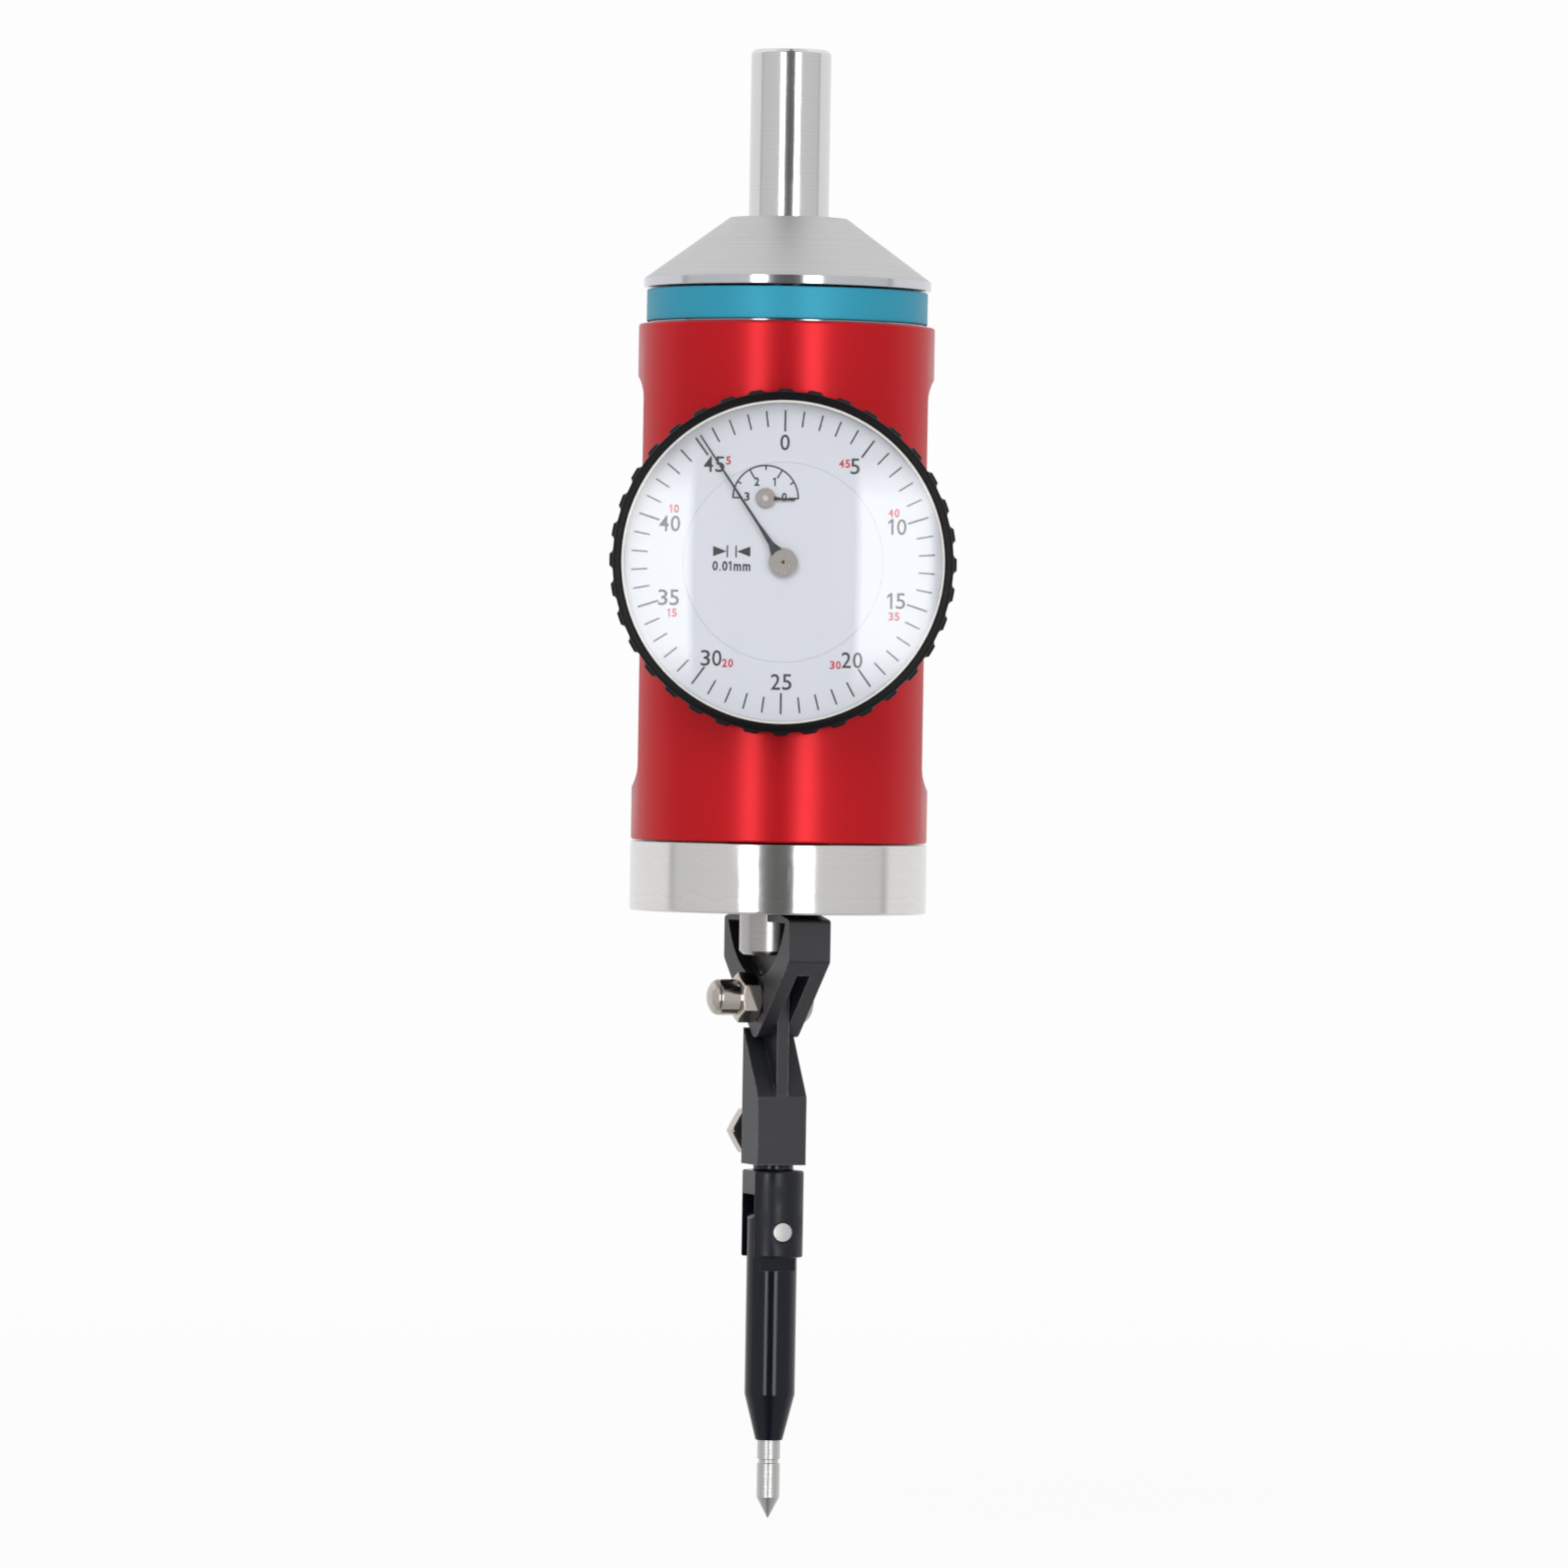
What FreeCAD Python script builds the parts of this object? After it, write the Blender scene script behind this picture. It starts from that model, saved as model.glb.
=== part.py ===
import FreeCAD, Part
import math
import os
import Sketcher

# Coaxial centering indicator, in millimetres.
# The origin is on the spindle's axis, at the foot of the shank. +Z runs up the shank and the dial
# faces -Y. The lever and its yoke stand turned about Z, as in the rest position of the spindle.

SIZES = {
    # Shank, spindle and cone
    "shank_diameter": 12.7,
    "shank_length": 26.7,
    "shank_chamfer": 0.6,
    "spindle_diameter": 12.0,
    "rod_diameter": 4.0,
    "running_clearance": 0.05,
    "cone_top_diameter": 18.7,
    "cone_base_diameter": 45.6,
    "cone_height": 10.1,
    "cone_lip": 1.2,
    "cone_hub_diameter": 16.0,
    # Housing with its cover ring and washer
    "rotor_gap": 0.3,
    "cover_diameter": 44.6,
    "cover_height": 5.1,
    "washer_diameter": 43.9,
    "washer_thickness": 0.4,
    "housing_diameter": 47.0,
    "across_grip_flats": 45.0,
    "grip_cutter_radius": 7.5,
    "housing_length": 81.8,
    "upper_band": 8.2,
    "lower_band": 8.3,
    "housing_bore": 25.4,
    "steady_hole_diameter": 5.0,
    "steady_hole_depth": 8.0,
    "steady_flat_radius": 4.5,
    "steady_flat_cut": 0.5,
    "steady_hole_below_dial": 27.0,
    # Ball bearings
    "bearing_diameter": 28.0,
    "bearing_width": 8.0,
    "bearing_ring_wall": 2.5,
    "ball_diameter": 4.4,
    "ball_count": 7,
    "bearing_inset": 1.0,
    "circlip_diameter": 15.0,
    "circlip_thickness": 1.0,
    # Rotor head
    "head_gap": 0.2,
    "head_diameter": 47.1,
    "head_height": 11.0,
    "head_edge": 0.5,
    "head_top_edge": 0.25,
    "spindle_end_above_head_base": 5.1,
    # Plunger and its cross pin
    "foot_diameter": 12.0,
    "foot_length": 8.6,
    "foot_stand_out": 6.8,
    "foot_chamfer": 0.6,
    "rod_in_foot": 5.0,
    "rod_above_carrier": 20.0,
    "measuring_travel": 3.0,
    "spring_length": 15.0,
    "spring_wire": 0.36,
    "spring_coils": 7,
    "cross_pin_diameter": 2.0,
    "cross_pin_below_dial": 17.0,
    "collar_diameter": 17.2,
    "collar_height": 5.0,
    "cross_pin_inset": 0.5,
    # Rack and gear train
    "carrier_height": 3.0,
    "carrier_gap": 0.1,
    "carrier_clearance": 0.3,
    "rack_width": 2.0,
    "rack_thickness": 2.0,
    "rack_front": 11.3,
    "rack_above_arbor": 4.0,
    "guide_height": 4.0,
    "guide_width": 6.0,
    "guide_below_dial": 2.0,
    "guide_wall": 0.5,
    "pinion_teeth": 10,
    "pinion_travel_per_turn": 6.0,
    "wheel_teeth": 96,
    "leaf_count": 8,
    "arbor_diameter": 0.9,
    "wheel_thickness": 0.6,
    "wheel_front": 15.4,
    "wheel_rim": 1.5,
    "wheel_hub_diameter": 3.6,
    "wheel_clearance": 0.33,
    "leaf_length": 1.6,
    "counter_turn": 16.2,
    # Dial case, movement and dials
    "dial_drop": 55.0,
    "case_wall": 1.1,
    "case_floor_front": 13.4,
    "case_floor": 1.2,
    "flange_back": 24.0,
    "flange_width": 3.5,
    "flange_thickness": 1.6,
    "bridge_clearance": 0.5,
    "bridge_thickness": 1.0,
    "bridge_front": 20.0,
    "pillar_diameter": 2.4,
    "pillar_inset": 2.8,
    "case_screw_inset": 2.75,
    "screw_diameter": 2.0,
    "screw_head_diameter": 3.6,
    "screw_head_height": 0.8,
    "screw_length": 5.0,
    "bridge_screw_diameter": 1.6,
    "dial_front": 28.4,
    "dial_thickness": 0.5,
    "outer_dial_width": 9.65,
    "dial_split": 0.15,
    "dial_foot_inset": 3.4,
    "dial_foot_diameter": 1.6,
    "dial_hole_diameter": 2.0,
    # Bezel, crystal and pointers
    "bezel_diameter": 54.2,
    "bezel_wall": 1.9,
    "bezel_skirt": 2.15,
    "bezel_back": 23.6,
    "bezel_front": 31.6,
    "bezel_lip_reach": 0.95,
    "bezel_lip": 0.7,
    "bezel_edge": 0.7,
    "crystal_back": 29.7,
    "crystal_thickness": 1.2,
    "crystal_rise": 3.1,
    "ring_wall": 0.5,
    "lobe_count": 36,
    "lobe_depth": 0.6,
    "lobe_cutter_diameter": 5.0,
    "snap_wire": 0.7,
    "pointer_short_of_bezel": 1.7,
    "pointer_tail": 1.5,
    "pointer_root_width": 1.5,
    "pointer_tip_width": 0.3,
    "pointer_thickness": 0.2,
    "pointer_back": 29.3,
    "pointer_hub_diameter": 4.4,
    "pointer_hub_height": 0.6,
    "pointer_turn": 34.0,
    "counter_pointer_length": 4.7,
    "counter_pointer_back": 28.8,
    "counter_hub_diameter": 3.1,
    "counter_hub_height": 0.4,
    "counter_pointer_tail": 1.2,
    "counter_pointer_turn": -2.5,
    # Yoke under the rotor head, turned about Z with the lever
    "linkage_turn": 20.0,
    "yoke_thickness": 7.0,
    "yoke_width": 30.2,
    "yoke_neck_diameter": 18.0,
    "yoke_shoulder_drop": 1.2,
    "yoke_shoulder_rise": 0.4,
    "yoke_side_height": 6.4,
    "yoke_flank_run": 11.1,
    "yoke_flank_drop": 9.5,
    "yoke_tip_radius": 2.0,
    "window_radius": 14.4,
    "window_centre_above_pivot": 17.5,
    "window_top_below_head": 1.5,
    "saw_slot_width": 2.2,
    "saw_slot_radius": 13.1,
    "pivot_below_head": 13.6,
    # Pivot bolt and nuts
    "bolt_diameter": 4.0,
    "hex_flats": 7.0,
    "bolt_head_height": 1.7,
    "clamp_head_height": 2.8,
    "nut_hex_height": 3.2,
    "acorn_diameter": 5.7,
    "acorn_height": 8.0,
    "acorn_crown_radius": 4.2,
    "nut_bore_depth": 6.0,
    "bolt_end_in_nut": 5.6,
    # Lever
    "tongue_thickness": 2.0,
    "tongue_width": 7.2,
    "fan_width": 18.0,
    "fan_waist_above_pivot": 3.8,
    "fan_rim": 0.9,
    "block_width": 8.2,
    "block_depth": 7.4,
    "block_base_below_pivot": 26.5,
    "block_front_below_pivot": 15.7,
    "block_back_below_pivot": 4.9,
    "clamp_screw_above_block_base": 4.9,
    "clamp_screw_stand_off": 4.9,
    # Feeler socket and its rivet
    "stem_diameter": 4.4,
    "stem_length": 8.0,
    "neck_diameter": 6.4,
    "neck_length": 0.9,
    "socket_diameter": 10.1,
    "socket_flats": 8.2,
    "socket_length": 13.8,
    "socket_edge": 0.4,
    "socket_slot_width": 5.6,
    "socket_slot_depth": 10.0,
    "rivet_diameter": 3.2,
    "rivet_length": 9.9,
    "rivet_above_socket_base": 4.1,
    # Probe barrel and centre point
    "barrel_diameter": 8.0,
    "tang_thickness": 5.4,
    "tang_radius": 4.4,
    "tang_length": 6.2,
    "barrel_length": 27.0,
    "barrel_taper": 7.3,
    "barrel_mouth_diameter": 4.3,
    "barrel_bore": 4.8,
    "barrel_bore_below_shoulder": 6.0,
    "barrel_throat_length": 7.0,
    "point_diameter": 3.6,
    "point_stand_out": 9.1,
    "point_cone": 3.3,
    "point_tip_diameter": 0.1,
    "point_groove_width": 0.7,
    "point_groove_depth": 0.15,
    "point_groove_drop": 3.0,
    "point_shoulder_diameter": 4.6,
    "point_shoulder_length": 2.0,
    "point_spring_wire": 0.3,
    "point_spring_coils": 8,
}

# Shares of a tooth's pitch at its root, pitch line and tip, and its rise in modules
TOOTH_ROOT = 0.27
TOOTH_PITCH = 0.17
TOOTH_TIP = 0.07
TOOTH_RISE = 0.65
RACK_TOOTH_RISE = 0.6
# Share of a hexagon's corner that its turned chamfer takes down
CORNER_DROP = 0.6
POINTER_TAIL_SHARE = 1 / 3
# Angles about the dial's centre, in degrees
CASE_SCREW_ANGLES = (31.5, 148.5, 211.5, 328.5)
PILLAR_ANGLES = (14, 194, 270)
DIAL_FOOT_ANGLES = (60, 180, 300)
SPOKE_BARS = 3
# Flats of a spring's wire and steps in each of its turns
WIRE_FLATS = 6
STEPS_PER_TURN = 14

doc = FreeCAD.newDocument("coaxial_indicator")
sheet = doc.addObject("Spreadsheet::Sheet", "Sizes")
for row, (alias, number) in enumerate(SIZES.items(), start=1):
    sheet.set(f"A{row}", alias)
    sheet.set(f"B{row}", str(number))
    sheet.setAlias(f"B{row}", alias)
doc.recompute()


class Size:
    """A number of the model, with the sheet expression that works it out."""

    def __init__(self, value, text):
        self.value = value
        self.text = text

    def __add__(self, other):
        other = as_size(other)
        return Size(self.value + other.value, f"({self.text} + {other.text})")

    def __sub__(self, other):
        other = as_size(other)
        return Size(self.value - other.value, f"({self.text} - {other.text})")

    def __mul__(self, other):
        other = as_size(other)
        return Size(self.value * other.value, f"({self.text} * {other.text})")

    def __truediv__(self, other):
        other = as_size(other)
        return Size(self.value / other.value, f"({self.text} / {other.text})")

    def __neg__(self):
        return Size(-self.value, f"(0 - {self.text})")


def as_size(number):
    """Return number as a Size, whether it is one already or a plain number."""
    if isinstance(number, Size):
        return number
    return Size(float(number), repr(float(number)))


def root(size):
    """Return the square root of a Size."""
    return Size(math.sqrt(size.value), f"sqrt({size.text})")


def sine(size):
    """Return the sine of a Size in degrees."""
    return Size(math.sin(math.radians(size.value)), f"sin({size.text} * 1 deg)")


def cosine(size):
    """Return the cosine of a Size in degrees."""
    return Size(math.cos(math.radians(size.value)), f"cos({size.text} * 1 deg)")


class Aliases:
    """Gives each alias of the sheet as an attribute that is a Size."""

    def __getattr__(self, alias):
        return Size(float(sheet.get(alias)), f"Sizes.{alias}")


S = Aliases()
ZERO = as_size(0)
NODES = []

# Heights along the spindle's axis
cone_base = -(S.cone_height + S.cone_lip)
cover_top = cone_base - S.rotor_gap
cover_base = cover_top - S.cover_height
housing_top = cover_base - S.washer_thickness
housing_base = housing_top - S.housing_length
head_top = housing_base - S.head_gap
head_base = head_top - S.head_height
spindle_end = head_base + S.spindle_end_above_head_base
upper_bearing_top = housing_top - S.bearing_inset
upper_bearing_base = upper_bearing_top - S.bearing_width
lower_bearing_base = housing_base + S.bearing_inset
lower_bearing_top = lower_bearing_base + S.bearing_width
foot_base = head_base - S.foot_stand_out
foot_top = foot_base + S.foot_length
cross_pin_level = -(S.dial_drop + S.cross_pin_below_dial)
collar_top = cross_pin_level + S.collar_height / 2
collar_base = collar_top - S.collar_height
carrier_base = collar_top + S.carrier_gap
carrier_top = carrier_base + S.carrier_height
rod_top = carrier_top + S.rod_above_carrier
spring_top = rod_top + S.spring_length
pivot_level = head_base - S.pivot_below_head
block_base = pivot_level - S.block_base_below_pivot
neck_base = block_base - S.neck_length
socket_base = neck_base - S.socket_length
rivet_level = socket_base + S.rivet_above_socket_base
barrel_shoulder = rivet_level - S.tang_length
barrel_base = barrel_shoulder - S.barrel_length
throat_top = barrel_base + S.barrel_throat_length
barrel_bore_top = barrel_shoulder - S.barrel_bore_below_shoulder
point_tip = barrel_base - S.point_stand_out - S.point_cone

# Radii and places used by more than one piece
spindle_radius = S.spindle_diameter / 2
rod_radius = S.rod_diameter / 2
rod_bore = rod_radius + S.running_clearance * 2
seat_radius = S.bearing_diameter / 2
bore_radius = S.housing_bore / 2
inner_ring_radius = spindle_radius + S.bearing_ring_wall
outer_ring_radius = seat_radius - S.bearing_ring_wall
ball_circle = (spindle_radius + seat_radius) / 2
rack_pinion_radius = S.pinion_travel_per_turn / (2 * math.pi)
crystal_radius = S.bezel_diameter / 2 - S.bezel_wall
inner_dial_radius = crystal_radius - S.outer_dial_width - S.dial_split
bezel_bore = S.bezel_diameter / 2 - S.bezel_skirt
flange_radius = bezel_bore - S.running_clearance
case_radius = flange_radius - S.flange_width
case_inner_radius = case_radius - S.case_wall
bridge_radius = case_inner_radius - S.bridge_clearance
case_back = S.case_floor_front - S.case_floor
gear_distance = (case_inner_radius - S.wheel_clearance) / (
    (S.wheel_teeth + 2 * TOOTH_RISE) / (S.wheel_teeth + S.leaf_count) + 1)
counter_left = gear_distance * sine(S.counter_turn)
counter_up = gear_distance * cosine(S.counter_turn)
rack_pitch_line = rack_pinion_radius - counter_left
wheel_module = gear_distance * 2 / (S.wheel_teeth + S.leaf_count)
rack_module = rack_pinion_radius * 2 / S.pinion_teeth
rack_side = rack_pitch_line + rack_module
bolt_radius = S.bolt_diameter / 2
half_yoke = S.yoke_thickness / 2
half_block = S.block_depth / 2


def node(obj, label):
    """Name a finished piece and list it among the nodes."""
    obj.Label = label
    NODES.append(obj)
    return obj


def bind(obj, **properties):
    """Bind properties of obj to Sizes."""
    for name, size in properties.items():
        size = as_size(size)
        setattr(obj, name, size.value)
        obj.setExpression(name, size.text)
    return obj


def place(obj, x=ZERO, y=ZERO, z=ZERO, rotation=None):
    """Put obj at a point given in Sizes, turned by rotation."""
    obj.Placement.Rotation = rotation or FreeCAD.Rotation()
    for axis, size in (("x", x), ("y", y), ("z", z)):
        obj.setExpression(f".Placement.Base.{axis}", as_size(size).text)
    return obj


TO_FRONT = FreeCAD.Rotation(FreeCAD.Vector(1, 0, 0), 90)
TO_BACK = FreeCAD.Rotation(FreeCAD.Vector(1, 0, 0), -90)
TO_RIGHT = FreeCAD.Rotation(FreeCAD.Vector(0, 1, 0), 90)
TO_LEFT = FreeCAD.Rotation(FreeCAD.Vector(0, 1, 0), -90)


def cylinder(label, radius, height, x=ZERO, y=ZERO, z=ZERO, rotation=None):
    """Make a cylinder that stands on the given point and runs along rotation's Z."""
    obj = bind(doc.addObject("Part::Cylinder", label), Radius=radius, Height=height)
    return place(obj, x, y, z, rotation)


def box(label, x, y, z):
    """Make a box from (low, high) pairs of Sizes."""
    sides = [(as_size(low), as_size(high)) for low, high in (x, y, z)]
    lengths = [high - low for low, high in sides]
    obj = doc.addObject("Part::Box", label)
    bind(obj, Length=lengths[0], Width=lengths[1], Height=lengths[2])
    return place(obj, *(low for low, _ in sides))


def torus(label, ring_radius, wire_radius, z=ZERO):
    """Make a torus about Z."""
    obj = doc.addObject("Part::Torus", label)
    quarter = FreeCAD.Rotation(FreeCAD.Vector(0, 0, 1), 45)
    return place(bind(obj, Radius1=ring_radius, Radius2=wire_radius), z=z, rotation=quarter)


def hexagon(label, flats, height, x=ZERO, y=ZERO, z=ZERO, rotation=None):
    """Make a six-sided prism of a given width across its flats, with chamfered corners."""
    prism = bind(doc.addObject("Part::Prism", label + "_flats"),
                 Circumradius=flats / math.sqrt(3), Height=height)
    prism.Polygon = 6
    corner = flats * (1 / math.sqrt(3) - 0.5)
    lathe = turned(label + "_corners", [
        (0, 0), (flats / 2, 0), (flats / 2 + corner, corner * CORNER_DROP),
        (flats / 2 + corner, height), (0, height)])
    return place(common(label, prism, lathe), x, y, z, rotation)


def cut(label, base, *tools):
    """Cut each tool from base."""
    for index, tool in enumerate(tools):
        step = doc.addObject("Part::Cut", f"{label}_cut_{index}")
        step.Base = base
        step.Tool = tool
        base = step
    return base


def fuse(label, *shapes):
    """Join shapes into one solid."""
    obj = doc.addObject("Part::MultiFuse", label)
    obj.Shapes = list(shapes)
    obj.Refine = True
    return obj


def common(label, *shapes):
    """Keep what all shapes share."""
    obj = doc.addObject("Part::MultiCommon", label)
    obj.Shapes = list(shapes)
    return obj


def group(label, shapes):
    """Hold separate solids as one object."""
    obj = doc.addObject("Part::Compound", label)
    obj.Links = list(shapes)
    return obj


def outline(body, plane, points):
    """Draw a closed outline on an origin plane of body, each corner held by two Sizes."""
    plane = next(item for item in body.Origin.OriginFeatures if item.Role == plane)
    sketch = body.newObject("Sketcher::SketchObject", body.Name + "_outline")
    sketch.AttachmentSupport = (plane, [""])
    sketch.MapMode = "FlatFace"
    corners = [(as_size(across), as_size(up)) for across, up in points]
    places = [FreeCAD.Vector(across.value, up.value, 0) for across, up in corners]
    count = len(places)
    for index in range(count):
        line = Part.LineSegment(places[index], places[(index + 1) % count])
        sketch.addGeometry(line, False)
    for index in range(count):
        sketch.addConstraint(Sketcher.Constraint("Coincident", index, 2, (index + 1) % count, 1))
    for index, (across, up) in enumerate(corners):
        hold(sketch, "DistanceX", index, across, -2)
        hold(sketch, "DistanceY", index, up, -1)
    return sketch


def hold(sketch, kind, index, size, axis):
    """Hold the start of line index at a distance from the sketch's origin, or on axis at zero."""
    if size.value == 0:
        sketch.addConstraint(Sketcher.Constraint("PointOnObject", index, 1, axis))
        return
    ends = (-1, 1, index, 1) if size.value > 0 else (index, 1, -1, 1)
    distance = size if size.value > 0 else -size
    number = sketch.addConstraint(Sketcher.Constraint(kind, *ends, distance.value))
    sketch.renameConstraint(number, f"{kind}_{index}")
    sketch.setExpression(f"Constraints.{kind}_{index}", distance.text)


def turned(label, points):
    """Turn a profile of (radius, height) corners about Z."""
    body = doc.addObject("PartDesign::Body", label)
    sketch = outline(body, "XZ_Plane", points)
    lathe = body.newObject("PartDesign::Revolution", label + "_turn")
    lathe.Profile = sketch
    lathe.ReferenceAxis = (sketch, ["V_Axis"])
    lathe.Angle = 360
    return body


def tube(label, inner, outer, low, high):
    """Turn a plain ring."""
    return turned(label, [(inner, low), (outer, low), (outer, high), (inner, high)])


def padded(label, plane, points, thickness):
    """Pad an outline evenly to both sides of an origin plane."""
    body = doc.addObject("PartDesign::Body", label)
    pad = body.newObject("PartDesign::Pad", label + "_pad")
    pad.Profile = outline(body, plane, points)
    pad.SideType = "Symmetric"
    bind(pad, Length=thickness)
    return body


def in_dial(obj, depth=ZERO, right=ZERO, up=ZERO):
    """Stand a piece made about Z on the dial's axis: its +Z then points at the reader."""
    return place(obj, right, -as_size(depth), up - S.dial_drop, TO_FRONT)


def in_linkage(label, obj):
    """Turn a piece of the lever's linkage to its rest position about Z, as a node."""
    held = group(label, [obj])
    held.Placement.Rotation = FreeCAD.Rotation(FreeCAD.Vector(0, 0, 1), S.linkage_turn.value)
    held.setExpression(".Placement.Rotation.Angle", S.linkage_turn.text)
    return node(held, label)


def solid(label, shape):
    """Hold a shape that is worked out by formula."""
    obj = doc.addObject("Part::Feature", label)
    obj.Shape = shape
    return obj


def gear_face(teeth, module, start):
    """Return a gear's face: slim teeth with room between them, the first at start degrees."""
    pitch_radius = module * teeth / 2
    step = 2 * math.pi / teeth
    flanks = [(-TOOTH_ROOT, -1), (-TOOTH_PITCH, 0), (-TOOTH_TIP, TOOTH_RISE),
              (TOOTH_TIP, TOOTH_RISE), (TOOTH_PITCH, 0), (TOOTH_ROOT, -1)]
    corners = []
    for tooth in range(teeth):
        middle = math.radians(start) + tooth * step
        for share, rise in flanks:
            radius = pitch_radius + rise * module
            angle = middle + share * step
            corners.append(FreeCAD.Vector(radius * math.cos(angle), radius * math.sin(angle), 0))
    return Part.Face(Part.makePolygon(corners + corners[:1]))


def coil_spring(radius, wire, length, coils):
    """Return a spring of flat-sided wire, wound about Z, whose first wire centre is at Z = 0."""
    steps = coils * STEPS_PER_TURN
    rings = []
    for step in range(steps + 1):
        turn = 2 * math.pi * step / STEPS_PER_TURN
        rise = (length - wire) * step / steps
        ring = []
        for flat in range(WIRE_FLATS):
            lean = 2 * math.pi * flat / WIRE_FLATS
            reach = radius + wire / 2 * math.cos(lean)
            ring.append(FreeCAD.Vector(reach * math.cos(turn), reach * math.sin(turn),
                                       rise + wire / 2 * math.sin(lean)))
        rings.append(ring)
    faces = [Part.Face(Part.makePolygon(ring + ring[:1])) for ring in (rings[0], rings[-1])]
    for ring, after in zip(rings, rings[1:]):
        for flat in range(WIRE_FLATS):
            side = (flat + 1) % WIRE_FLATS
            for triangle in ((ring[flat], ring[side], after[side]),
                             (ring[flat], after[side], after[flat])):
                faces.append(Part.Face(Part.makePolygon(list(triangle) + [triangle[0]])))
    return Part.makeSolid(Part.makeShell(faces))


def make_spindle():
    """Turn the shank and spindle, bore it for the plunger rod and slot it for the cross pin."""
    shank = S.shank_diameter / 2
    blank = turned("spindle_blank", [
        (rod_bore, spindle_end), (spindle_radius, spindle_end), (spindle_radius, 0), (shank, 0),
        (shank, S.shank_length - S.shank_chamfer),
        (shank - S.shank_chamfer, S.shank_length), (0, S.shank_length), (0, spring_top),
        (rod_bore, spring_top)])
    half = S.cross_pin_diameter / 2 + S.running_clearance
    slot = box("pin_slot", (-spindle_radius * 2, spindle_radius * 2), (-half, half),
               (cross_pin_level - half, cross_pin_level + S.measuring_travel + half))
    node(cut("spindle_body", blank, slot), "spindle")


def make_cone():
    """Turn the cone that covers the upper bearing, with the hub that seats on its inner ring."""
    hub = S.cone_hub_diameter / 2
    node(turned("cone_body", [
        (spindle_radius, 0), (S.cone_top_diameter / 2, 0),
        (S.cone_base_diameter / 2, -S.cone_height), (S.cone_base_diameter / 2, cone_base),
        (hub, cone_base), (hub, upper_bearing_top), (spindle_radius, upper_bearing_top)]),
        "cone_cap")


def make_bearing(name, low, high):
    """Make a deep-groove ball bearing: two grooved rings and the balls between them."""
    middle = (low + high) / 2
    ball = S.ball_diameter / 2
    groove = torus(name + "_groove", ball_circle, ball + S.running_clearance, middle)
    inner = tube(name + "_inner_blank", spindle_radius, inner_ring_radius, low, high)
    outer = tube(name + "_outer_blank", outer_ring_radius, seat_radius, low, high)
    node(cut(name + "_inner", inner, groove), name + "_bearing_inner")
    node(cut(name + "_outer", outer, groove), name + "_bearing_outer")
    balls = []
    count = int(S.ball_count.value)
    for index in range(count):
        angle = 2 * math.pi * index / count
        sphere = bind(doc.addObject("Part::Sphere", f"{name}_ball_{index}"), Radius=ball)
        balls.append(place(sphere, ball_circle * math.cos(angle), ball_circle * math.sin(angle),
                           middle))
    node(group(name + "_balls", balls), name + "_bearing_balls")


def make_circlips():
    """Make the two circlips that hold the inner rings on the spindle."""
    radius = S.circlip_diameter / 2
    rings = [
        tube("upper_circlip", spindle_radius, radius, upper_bearing_base - S.circlip_thickness,
             upper_bearing_base),
        tube("lower_circlip", spindle_radius, radius, lower_bearing_top,
             lower_bearing_top + S.circlip_thickness)]
    node(group("circlips", rings), "spindle_circlips")


def make_rotor_head():
    """Turn the head that carries the yoke, with its hub under the lower bearing."""
    radius = S.head_diameter / 2
    hub = S.cone_hub_diameter / 2
    neck = S.yoke_neck_diameter / 2
    node(turned("head_body", [
        (spindle_radius, lower_bearing_base), (hub, lower_bearing_base), (hub, head_top),
        (radius - S.head_top_edge, head_top), (radius, head_top - S.head_top_edge),
        (radius, head_base + S.head_edge), (radius - S.head_edge, head_base), (neck, head_base),
        (neck, spindle_end), (spindle_radius, spindle_end)]), "rotor_head")


def grip_cutter(name, low, high):
    """Make the cutter that mills one side flat of the housing, from low to high along X."""
    band = S.housing_diameter / 2
    radius = S.grip_cutter_radius
    depth = (S.housing_diameter - S.across_grip_flats) / 2
    run_out = root(radius * depth * 2 - depth * depth)
    bottom = housing_base + S.lower_band + run_out
    top = housing_top - S.upper_band - run_out
    bar = box(f"{name}_bar", (low, high), (-band, band), (bottom, top))
    ends = [cylinder(f"{name}_end_{index}", radius, band * 2, (low + high) / 2, -band, level,
                     TO_BACK) for index, level in enumerate((bottom, top))]
    return fuse(name, bar, *ends)


def make_housing():
    """Turn the housing, mill its side flats and bore its seats, dial pocket and steady-rod hole."""
    band = S.housing_diameter / 2
    edge = S.head_edge
    blank = turned("housing_blank", [
        (seat_radius, housing_base), (band - edge, housing_base), (band, housing_base + edge),
        (band, housing_top - edge), (band - edge, housing_top),
        (seat_radius, housing_top), (seat_radius, upper_bearing_base),
        (bore_radius, upper_bearing_base), (bore_radius, lower_bearing_top),
        (seat_radius, lower_bearing_top)])
    pocket = in_dial(cylinder("dial_pocket", case_radius + S.running_clearance * 2,
                              S.housing_diameter / 2, ZERO), case_back)
    steady_level = -(S.dial_drop + S.steady_hole_below_dial)
    grip = S.across_grip_flats / 2
    reach = grip + S.grip_cutter_radius * 2
    flats = [grip_cutter("right_grip", grip, reach), grip_cutter("left_grip", -reach, -grip)]
    flat = band - S.steady_flat_cut
    spot = cylinder("steady_flat", S.steady_flat_radius, band, ZERO, flat, steady_level, TO_BACK)
    hole = cylinder("steady_hole", S.steady_hole_diameter / 2, S.steady_hole_depth * 2, ZERO,
                    flat - S.steady_hole_depth, steady_level, TO_BACK)
    screws = [in_dial(cylinder(f"housing_screw_hole_{index}", S.screw_diameter / 2,
                               S.screw_length, ZERO),
                      case_back - S.screw_length + S.case_floor, right, up)
              for index, (right, up) in enumerate(case_screw_places())]
    node(cut("housing_body", blank, pocket, spot, hole, *flats, *screws), "housing")


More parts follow.
